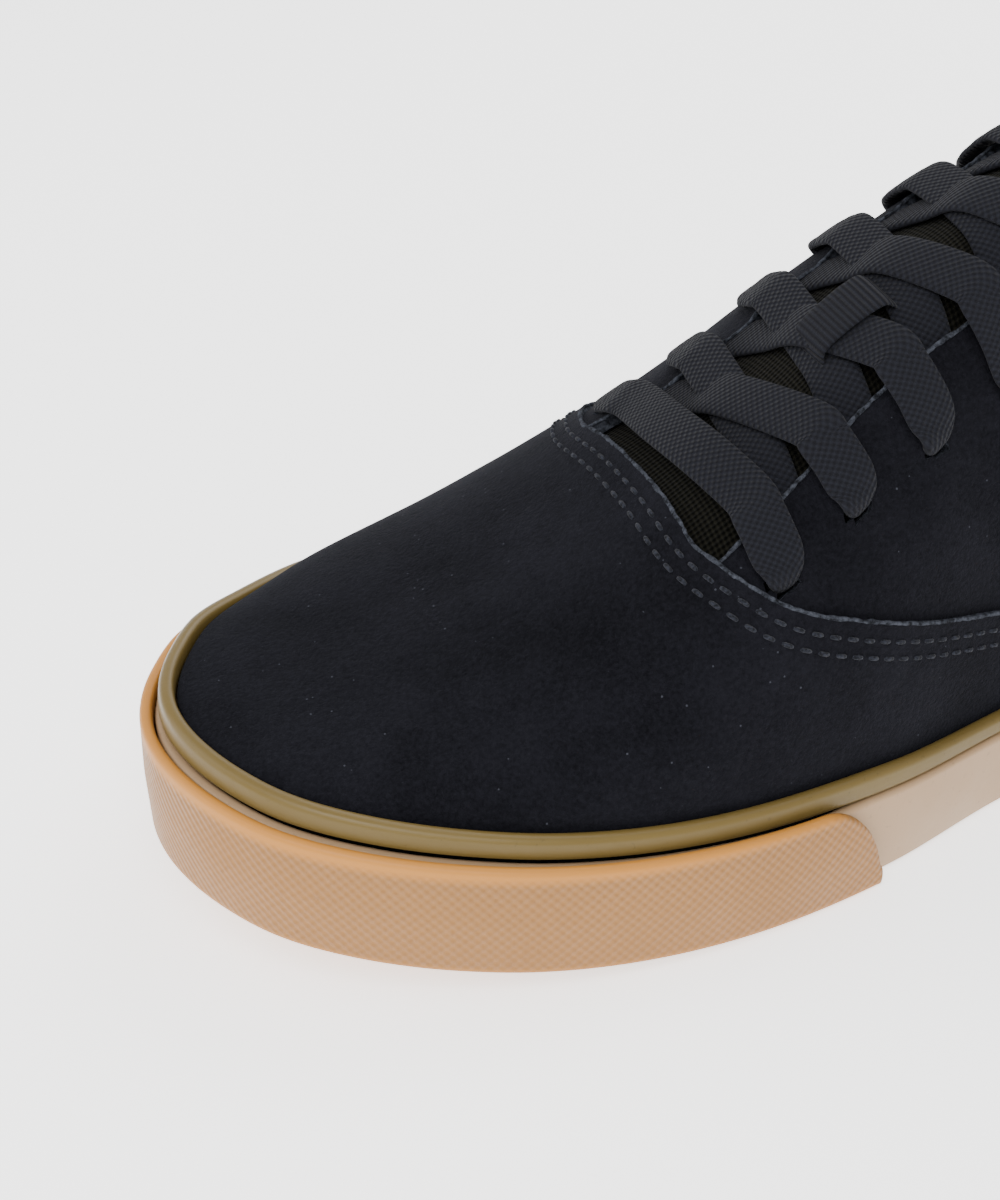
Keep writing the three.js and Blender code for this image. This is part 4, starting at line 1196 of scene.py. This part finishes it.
class SHOE_OT_collar(ShoeOperator, bpy.types.Operator):
    """Build the padded lining round the collar"""

    bl_idname = "shoe.collar"
    bl_label = "Collar padding"

    PROFILE = table("inwards down", [
        (0.10, 0.8),
        (0.25, -0.6),
        (0.60, -0.9),
        (0.95, 0.6),
        (1.15, 4.0),
        (1.20, 9.0),
        (1.05, 16.0),
        (0.75, 23.0),
        (0.40, 30.0),
        (0.28, 33.0),
    ])
    STEPS = 30
    FRONT = 0.352
    CENTRE = (60.0, 0.0, 70.0)
    END_ROUNDNESS = 24
    THIN_END = 0.05
    THICKNESS = 0.8
    BEHIND_WALL = 3.5
    BEHIND_BY = 6.0

    def build(self, sizes, finishes):
        turn = np.linspace(turn_at((quarters.sides.heel + HEEL_MARGIN) / LENGTH), turn_at(self.FRONT), 120)
        x = LENGTH * along_at(turn)
        halves = []
        for medial in (False, True):
            top = top_angle(x, medial)
            edge = quarters.point(x, top, medial)
            below = quarters.point(x, top * 0.6, medial)
            halves.append(np.stack([edge, below], axis=1))
        runs = np.concatenate([halves[0][::-1], halves[1][1:]])
        edge = smooth_run(runs[:, 0], 3)
        down = runs[:, 1] - runs[:, 0]
        down /= np.linalg.norm(down, axis=1, keepdims=True)
        tangent = np.gradient(edge, axis=0)
        inward = np.cross(down, tangent)
        inward /= np.linalg.norm(inward, axis=1, keepdims=True)
        inward *= np.sign(np.sum(inward * (np.array(self.CENTRE) - edge), axis=1, keepdims=True))
        key = np.linspace(0, 1, len(self.PROFILE["inwards"]))
        fine = np.linspace(0, 1, self.STEPS)
        profile = {name: smooth_run(np.interp(fine, key, values), 4) for name, values in self.PROFILE.items()}
        round_end = 1 - np.abs(np.linspace(-1, 1, len(edge))) ** self.END_ROUNDNESS
        ends = np.sqrt(np.clip(round_end, self.THIN_END, 1))[:, None]
        behind_wall = self.BEHIND_WALL * smoothstep(profile["down"], 0, self.BEHIND_BY)
        in_run = sizes.padding * profile["inwards"] * ends + behind_wall * (1 - ends)
        points = edge[:, None] + inward[:, None] * in_run[..., None]
        points = points + down[:, None] * profile["down"][None, :, None]
        faces, row, column = grid_faces(*points.shape[:2])
        uv = np.stack([row, column], axis=-1).reshape(-1, 2)
        collar = piece_from("collar_padding", points.reshape(-1, 3), faces, [finishes.lining], uv)
        thicken(collar, self.THICKNESS, rim_slot=0)


class SHOE_OT_insole(ShoeOperator, bpy.types.Operator):
    """Build the insole with a cupped heel"""

    bl_idname = "shoe.insole"
    bl_label = "Insole"

    EDGE_TUCK = 0.6
    CUP = 1.6
    CUP_POWER = 4
    CUP_RUN = (0.1, 0.45)
    EDGE_ROUNDNESS = 14

    def build(self, sizes, finishes):
        sides = Sides(QUARTER_OUT + self.EDGE_TUCK)
        turn = np.linspace(0.004, 0.996, 130)
        x = lerp(sides.heel, sides.toe, along_at(turn))
        across = np.sin(np.linspace(-1, 1, 41) * math.pi / 2)
        middle = (sides.medial(x) + sides.lateral(x)) / 2
        half = (sides.medial(x) - sides.lateral(x)) / 2
        low = plate_top(x / LENGTH) + CLEARANCE
        y = middle[:, None] + across * half[:, None]
        heel_share = 1 - smoothstep(x / LENGTH, *self.CUP_RUN)
        cup = self.CUP * np.abs(across) ** self.CUP_POWER * heel_share[:, None]
        soft = np.sqrt(np.clip(1 - np.abs(across) ** self.EDGE_ROUNDNESS, 0, 1))
        top = low[:, None] + (INSOLE_THICKNESS - self.CUP + cup + 0 * y) * soft
        grid_x = np.broadcast_to(x[:, None], y.shape)
        upper_side = np.stack([grid_x, y, top], axis=-1)
        lower_side = np.stack([grid_x, y, np.broadcast_to(low[:, None], y.shape)], axis=-1)
        points = np.concatenate([upper_side, lower_side[:, ::-1][:, 1:-1]], axis=1)
        faces, row, column = grid_faces(*points.shape[:2], wrap_columns=True)
        last = (len(x) - 1) * points.shape[1]
        loops = [list(range(points.shape[1])), list(range(last, last + points.shape[1]))[::-1]]
        uv = np.stack([row, column], axis=-1).reshape(-1, 2).tolist()
        uv += [[0, 0]] * (2 * points.shape[1])
        footbed = piece_from("footbed", points.reshape(-1, 3), faces[:, ::-1].tolist() + loops,
                             [finishes.footbed], uv)
        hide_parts("insole")


# Laces

def strip_along(name, centre, wide, width, thickness, material, sides=20):
    """Flat strip with round edges along a run of points, with its width direction at each."""
    tangent = np.gradient(centre, axis=0)
    tangent /= np.linalg.norm(tangent, axis=1, keepdims=True)
    wide = wide - np.sum(wide * tangent, axis=1, keepdims=True) * tangent
    wide /= np.linalg.norm(wide, axis=1, keepdims=True)
    up = np.cross(wide, tangent)
    angle = np.arange(sides) * 2 * math.pi / sides
    across = np.sign(np.cos(angle)) * np.abs(np.cos(angle)) ** 0.6
    over = np.sign(np.sin(angle)) * np.abs(np.sin(angle)) ** 0.8
    points = centre[:, None] + wide[:, None] * (across * width[:, None] / 2)[..., None]
    points = points + up[:, None] * (over * thickness[:, None] / 2)[..., None]
    faces, row, column = grid_faces(len(centre), sides, wrap_columns=True)
    run = np.concatenate([[0], np.cumsum(np.linalg.norm(np.diff(centre, axis=0), axis=1))])
    place = np.append(across, across[0]) * width.max() / 2
    uv = np.stack([run[row], place[column]], axis=-1).reshape(-1, 2).tolist()
    caps = [list(range(sides))[::-1], list(range(len(centre) * sides - sides, len(centre) * sides))]
    uv += [[0, 0]] * (2 * sides)
    faces = faces.tolist() + caps
    return piece_from(name, points.reshape(-1, 3), faces, [material], uv, sharp=math.radians(75))


def through(points, steps):
    """Smooth run of points through a short list, evenly spaced."""
    points = np.asarray(points, float)
    padded = np.vstack([2 * points[0] - points[1], points, 2 * points[-1] - points[-2]])
    runs = []
    for i in range(len(points) - 1):
        a, b, c, d = padded[i:i + 4]
        t = np.linspace(0, 1, 24, endpoint=False)[:, None]
        runs.append(b + 0.5 * t * (c - a + t * (2 * a - 5 * b + 4 * c - d + t * (3 * (b - c) + d - a))))
    dense = np.vstack(runs + [points[-1:]])
    length = np.concatenate([[0], np.cumsum(np.linalg.norm(np.diff(dense[:, :3], axis=0), axis=1))])
    even = np.linspace(0, length[-1], steps)
    return np.stack([np.interp(even, length, column) for column in dense.T], axis=1)


class Route:
    """Places of a flat strip, each with its upward direction and shares of width and thickness."""

    def __init__(self):
        self.rows = []

    def over(self, surface, x, y, hover, width=1.0, thickness=1.0):
        """Goes on to a place over a surface."""
        x, y = np.float64(x), np.float64(y)
        normal = surface.normal(x, y)
        place = np.array([x, y, float(surface.height(x, y))]) + normal * hover
        return self.to(place, normal, width, thickness)

    def to(self, place, up, width=1.0, thickness=1.0):
        """Goes on to a place."""
        self.rows.append([*place, *up, width, thickness])
        return self

    def back(self):
        """The same places the other way round."""
        self.rows.reverse()
        return self

    def then(self, other):
        """Goes on along another route."""
        self.rows += other.rows
        return self

    def strip(self, name, steps, width, thickness, material):
        """The strip itself."""
        run = through(self.rows, steps)
        centre = run[:, :3]
        wide = np.cross(np.gradient(centre, axis=0), run[:, 3:6])
        wide = smooth_run(wide / np.linalg.norm(wide, axis=1, keepdims=True), 6)
        return strip_along(name, centre, wide, width * run[:, 6], thickness * run[:, 7], material)


class SHOE_OT_laces(ShoeOperator, bpy.types.Operator):
    """Run the flat lace through the eyelets: a bar, then the crossings up to the top pair"""

    bl_idname = "shoe.laces"
    bl_label = "Laces"

    STEPS = 130
    DIVE = 5.5
    LANDING = (
        {"before": 4.4, "hover": 0.8, "width": 1.0, "thickness": 1.0},
        {"before": 2.6, "hover": 0.65, "width": 1.0, "thickness": 1.05},
        {"before": 1.3, "hover": 0.3, "width": 0.9, "thickness": 1.2},
    )
    EDGE_INSIDE = 3.4
    EDGE_HOVER = 0.95
    EDGE_RISE = 0.45
    UNDER_FLAP = 3.0
    SET_OFF = 2.6

    @staticmethod
    def ahead(start, end):
        """Plan direction from one eyelet to another."""
        way = end[:2] - start[:2]
        return way / np.linalg.norm(way)

    def landing(self, eyelet, ahead, sign, thick):
        """Runs straight over the flap's edge and down through its eyelet."""
        edge = EYELET_LINES[sign]["setback"] / abs(ahead[1])
        route = Route()
        inside = eyelet[:2] - ahead * (edge + self.EDGE_INSIDE)
        route.over(quarters, *inside, thick / 2 + self.EDGE_HOVER - self.EDGE_RISE)
        route.over(quarters, *(eyelet[:2] - ahead * edge), thick / 2 + self.EDGE_HOVER)
        for row in self.LANDING:
            route.over(quarters, *(eyelet[:2] - ahead * row["before"]), thick / 2 + row["hover"],
                       row["width"], row["thickness"])
        normal = quarters.normal(*eyelet[:2])
        flow = np.append(ahead, 0) - normal * (normal[:2] @ ahead)
        flow /= np.linalg.norm(flow)
        route.to(eyelet + normal * 0.6 - flow * 0.3, normal + flow, 0.66, 1.5)
        route.to(eyelet - normal * 1.6 + flow * 0.1, flow, 0.5, 1.9)
        return route.to(eyelet - normal * self.DIVE, flow, 0.5, 1.9)

    def arm(self, name, row, sign, on_top, sizes, finishes):
        """One half of a crossing: from under one flap to the next eyelet on the side of sign."""
        thick = sizes.lace_thickness
        end = EYELETS[sign][row + 1]
        start = EYELETS[-sign][row] - [self.SET_OFF, 0, 0]
        ahead = self.ahead(start, end)
        edge = EYELET_LINES[-sign]["setback"] / abs(ahead[1])
        middle = lerp(start[:2], end[:2], 0.5)
        inside = start[:2] + ahead * (edge + 0.8)
        route = Route()
        route.over(tongue_form, *(start[:2] + ahead * (edge - self.UNDER_FLAP)), thick / 2 - 0.5, 0.95, 0.8)
        route.over(tongue_form, *inside, thick / 2 - 0.1)
        route.over(tongue_form, *lerp(inside, middle, 0.5), thick / 2 + 0.25)
        route.over(tongue_form, *middle, thick * (1.6 if on_top else 0.5) + 0.2)
        route.then(self.landing(end, ahead, sign, thick))
        arm = route.strip(name, self.STEPS, sizes.lace_width, thick, finishes.lace)
        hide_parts(f"lace_cross_{row + 1}")

    def build(self, sizes, finishes):
        thick = sizes.lace_thickness
        lateral, medial = EYELETS[-1][0], EYELETS[1][0]
        ahead = self.ahead(lateral, medial)
        route = self.landing(lateral, -ahead, -1, thick).back()
        for share in (0.4, 0.6):
            x, y = lerp(lateral[:2], medial[:2], share)
            route.over(tongue_form, x, y, WALL + TONGUE_SINK + 1.2)
        route.then(self.landing(medial, ahead, 1, thick))
        bar = route.strip("lace_bar_run", self.STEPS, sizes.lace_width, thick, finishes.lace)
        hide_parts("lace_bar")
        for row in range(EYELET_ROWS - 1):
            self.arm(f"lace_{row + 1}_over", row, 1, True, sizes, finishes)
            self.arm(f"lace_{row + 1}_under", row, -1, False, sizes, finishes)
        self.keeper(sizes, finishes)

    KEEPER_PLACE = (38.5, 8.0)
    KEEPER_ROUTE = (
        {"away": 6.2, "hover": 0.2},
        {"away": 5.5, "hover": 1.4},
        {"away": 4.2, "hover": 3.3},
        {"away": 0.0, "hover": 3.7},
        {"away": -4.2, "hover": 3.3},
        {"away": -5.5, "hover": 1.4},
        {"away": -6.2, "hover": 0.2},
    )
    KEEPER_WIDTH = 8.2
    KEEPER_THICKNESS = 0.8

    def keeper(self, sizes, finishes):
        """Ribbon sewn to the tongue over the third crossing."""
        middle_x, middle_y = self.KEEPER_PLACE
        middle_x += LENGTH / 2
        route = Route()
        for row in self.KEEPER_ROUTE:
            route.over(tongue_form, middle_x + row["away"], middle_y, row["hover"])
        ribbon = route.strip("keeper_ribbon", 90, self.KEEPER_WIDTH, self.KEEPER_THICKNESS, finishes.ribbon)
        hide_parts("lace_keeper")


# Stitching

def capsules(name, starts, ends, normals, radius, material):
    """One mesh of many short stitches, each dipping into the leather at its ends."""
    rings = np.array([-0.5, -0.42, -0.2, 0.2, 0.42, 0.5])
    sizes = np.array([0.25, 0.75, 1.0, 1.0, 0.75, 0.25])
    sink = np.array([-0.9, -0.2, 0.35, 0.35, -0.2, -0.9])
    angle = np.arange(6) * math.pi / 3
    centre = (starts + ends) / 2
    run = ends - starts
    across = np.cross(normals, run)
    across /= np.linalg.norm(across, axis=1, keepdims=True)
    spine = centre[:, None] + run[:, None] * rings[None, :, None]
    spine = spine + normals[:, None] * (sink * radius)[None, :, None]
    ring = across[:, None] * np.cos(angle)[None, :, None] + normals[:, None] * np.sin(angle)[None, :, None]
    points = spine[:, :, None] + ring[:, None] * (sizes * radius)[None, :, None, None]
    faces, _, _ = grid_faces(len(rings), len(angle), wrap_columns=True)
    caps = np.array([[5, 4, 3, 0], [3, 2, 1, 0]])
    count = len(rings) * len(angle)
    one = np.vstack([faces, caps, caps[:, ::-1] + count - len(angle)])
    all_faces = (one[None] + (np.arange(len(centre)) * count)[:, None, None]).reshape(-1, 4)
    return piece_from(name, points.reshape(-1, 3), all_faces, [material], sharp=math.radians(80))


def stitch_line(line, up, pitch, length):
    """Starts, ends and normals of stitches along a run."""
    walked = np.concatenate([[0], np.cumsum(np.linalg.norm(np.diff(line, axis=0), axis=1))])
    begin = np.arange(pitch / 2, walked[-1] - length, pitch)
    starts, ends, normals = (np.stack([np.interp(at, walked, column) for column in values.T], axis=1)
                             for at, values in ((begin, line), (begin + length, line), (begin, up)))
    return starts, ends, normals


def evenly(run, step):
    """Run of points spaced evenly."""
    walked = np.concatenate([[0], np.cumsum(np.linalg.norm(np.diff(run, axis=0), axis=1))])
    places = np.arange(0, walked[-1], step)
    return np.stack([np.interp(places, walked, column) for column in run.T], axis=1)


VAMP_WING_START = 0.455
PATH_STEP = 0.5
PATH_SOFTNESS = 4


def vamp_path(offset, softness=PATH_SOFTNESS):
    """Run and normals a distance inside the vamp's edge, from the medial wing round the throat's base."""
    wing_x = np.linspace(VAMP_WING_START * LENGTH, THROAT_START_X, 200)
    angle = vamp_edge_angle(wing_x)
    medial, lateral = (vamp_form.point(wing_x, angle, side) for side in (True, False))
    across = np.linspace(medial[-1, 1], lateral[-1, 1], 60)
    corner_x = np.full(60, THROAT_START_X)
    base = np.column_stack([corner_x, across, vamp_form.height(corner_x, across)])
    edge = smooth_run(evenly(np.vstack([medial, base, lateral[::-1]]), PATH_STEP), softness)
    line, up = vamp_form.settle(edge)
    inwards = np.cross(smooth_run(np.gradient(line, axis=0), softness), up)
    inwards /= np.linalg.norm(inwards, axis=1, keepdims=True)
    inwards *= np.sign(inwards[len(inwards) // 2, 0])
    return vamp_form.settle(smooth_run(line + inwards * offset, softness))


class SHOE_OT_stitching(ShoeOperator, bpy.types.Operator):
    """Sew the vamp's double row"""

    bl_idname = "shoe.stitching"
    bl_label = "Stitching"

    ROWS = (2.8, 5.4)
    SOFTNESS = 40

    def build(self, sizes, finishes):
        runs = [stitch_line(*vamp_path(offset, self.SOFTNESS), sizes.stitch_pitch, sizes.stitch_length)
                for offset in self.ROWS]
        starts, ends, normals = (np.vstack(parts) for parts in zip(*runs))
        rows = capsules("vamp_stitches", starts, ends, normals, sizes.thread / 2, finishes.thread)


# Stage

CAMERA_PLACE = (326.157, 229.436, 193.102)
CAMERA_RIGHT = (-0.93165117, 0.36334587, -0.00242495)
CAMERA_UP = (-0.19845096, -0.50323277, 0.84105529)
CAMERA_BACK = (0.30437365, 0.78405137, 0.54094373)
CAMERA_FOCAL_PX = 1897.78
CAMERA_SHIFT_PX = (9.65, 0.75)
FRAME_PX = (1000, 1200)
SENSOR = 36


class SHOE_OT_stage(ShoeOperator, bpy.types.Operator):
    """Set the floor, the lights and the camera"""

    bl_idname = "shoe.stage"
    bl_label = "Stage"

    LIGHTS = (
        ("key", (0.35, 0.55, 0.75), 9.0, 0.7),
        ("fill", (0.75, -0.25, 0.5), 4.0, 0.8),
        ("back", (-0.5, -0.45, 0.7), 6.0, 0.8),
    )

    def build(self, sizes, finishes):
        floor = self.floor()
        floor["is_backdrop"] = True
        for name, place, power, size in self.LIGHTS:
            self.light(name, place, power, size)
        world = bpy.data.worlds.new("studio")
        world.use_nodes = True
        world.node_tree.nodes["Background"].inputs[0].default_value = (1, 1, 1, 1)
        world.node_tree.nodes["Background"].inputs[1].default_value = 0.9
        bpy.context.scene.world = world
        self.camera()

    @staticmethod
    def floor():
        """Plain pale floor."""
        half = 3.0
        mesh = bpy.data.meshes.new("floor")
        corners = [(-half, -half, 0), (half, -half, 0), (half, half, 0), (-half, half, 0)]
        mesh.from_pydata(corners, [], [(0, 1, 2, 3)])
        finish = Finish("floor", (0.95, 0.95, 0.95, 1), 0.9, Specular_IOR_Level=0.1, Emission_Strength=1.5)
        finish.surface.inputs["Emission Color"].default_value = (1, 1, 1, 1)
        mesh.materials.append(finish.material)
        floor = bpy.data.objects.new("floor", mesh)
        bpy.context.collection.objects.link(floor)
        return floor

    @staticmethod
    def light(name, place, power, size):
        """Soft square light turned to the shoe."""
        lamp = bpy.data.lights.new(name, "AREA")
        lamp.energy = power
        lamp.size = size
        thing = bpy.data.objects.new(name, lamp)
        thing.location = place
        back = np.array(place) - np.array([0.05, 0.0, 0.03])
        back /= np.linalg.norm(back)
        right = np.cross((0, 0, 1), back)
        right /= np.linalg.norm(right)
        columns = np.column_stack([right, np.cross(back, right), back])
        thing.rotation_euler = Matrix(columns.tolist()).to_euler()
        bpy.context.collection.objects.link(thing)

    @staticmethod
    def camera():
        """The photograph's view of the shoe."""
        lens = bpy.data.cameras.new("camera")
        lens.sensor_width = SENSOR
        lens.lens = CAMERA_FOCAL_PX * SENSOR / FRAME_PX[1]
        lens.shift_x = -CAMERA_SHIFT_PX[0] / FRAME_PX[1]
        lens.shift_y = CAMERA_SHIFT_PX[1] / FRAME_PX[1]
        lens.clip_start = 0.01
        thing = bpy.data.objects.new("camera", lens)
        turn = Matrix(np.column_stack([CAMERA_RIGHT, CAMERA_UP, CAMERA_BACK]).tolist())
        thing.matrix_world = Matrix.Translation(to_frame(CAMERA_PLACE)) @ turn.to_4x4()
        bpy.context.collection.objects.link(thing)
        bpy.context.scene.camera = thing


BUILDERS = (
    SHOE_OT_sole,
    SHOE_OT_quarters,
    SHOE_OT_vamp,
    SHOE_OT_edges,
    SHOE_OT_backstay,
    SHOE_OT_tongue,
    SHOE_OT_collar,
    SHOE_OT_insole,
    SHOE_OT_laces,
    SHOE_OT_stitching,
    SHOE_OT_stage,
)


class SHOE_PT_panel(bpy.types.Panel):
    """Sidebar panel with the shoe's settings and builders"""

    bl_idname = "SHOE_PT_panel"
    bl_label = "Shoe"
    bl_space_type = "VIEW_3D"
    bl_region_type = "UI"
    bl_category = "Shoe"

    def draw(self, context):
        for group in (context.scene.shoe_sizes, context.scene.shoe_colours):
            for key in group.__annotations__:
                self.layout.prop(group, key)
        for builder in BUILDERS:
            self.layout.operator(builder.bl_idname)


CLASSES = (ShoeSizes, ShoeColours, *BUILDERS, SHOE_PT_panel)


def register():
    """Registers the classes and their settings."""
    for cls in CLASSES:
        bpy.utils.register_class(cls)
    bpy.types.Scene.shoe_sizes = PointerProperty(type=ShoeSizes)
    bpy.types.Scene.shoe_colours = PointerProperty(type=ShoeColours)


def unregister():
    """Takes them away again."""
    del bpy.types.Scene.shoe_colours
    del bpy.types.Scene.shoe_sizes
    for cls in reversed(CLASSES):
        bpy.utils.unregister_class(cls)


def main():
    """Builds every piece in order and works out both boxes."""
    register()
    bpy.ops.shoe.sole()
    bpy.ops.shoe.quarters()
    bpy.ops.shoe.vamp()
    bpy.ops.shoe.edges()
    bpy.ops.shoe.backstay()
    bpy.ops.shoe.tongue()
    bpy.ops.shoe.collar()
    bpy.ops.shoe.insole()
    bpy.ops.shoe.laces()
    bpy.ops.shoe.stitching()
    bpy.ops.shoe.stage()
    boxes = {"cad": CAD_BOX, "visual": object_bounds()}
    boxes = {name: [[float(value) for value in corner] for corner in box] for name, box in boxes.items()}


if __name__ == "__main__":
    main()
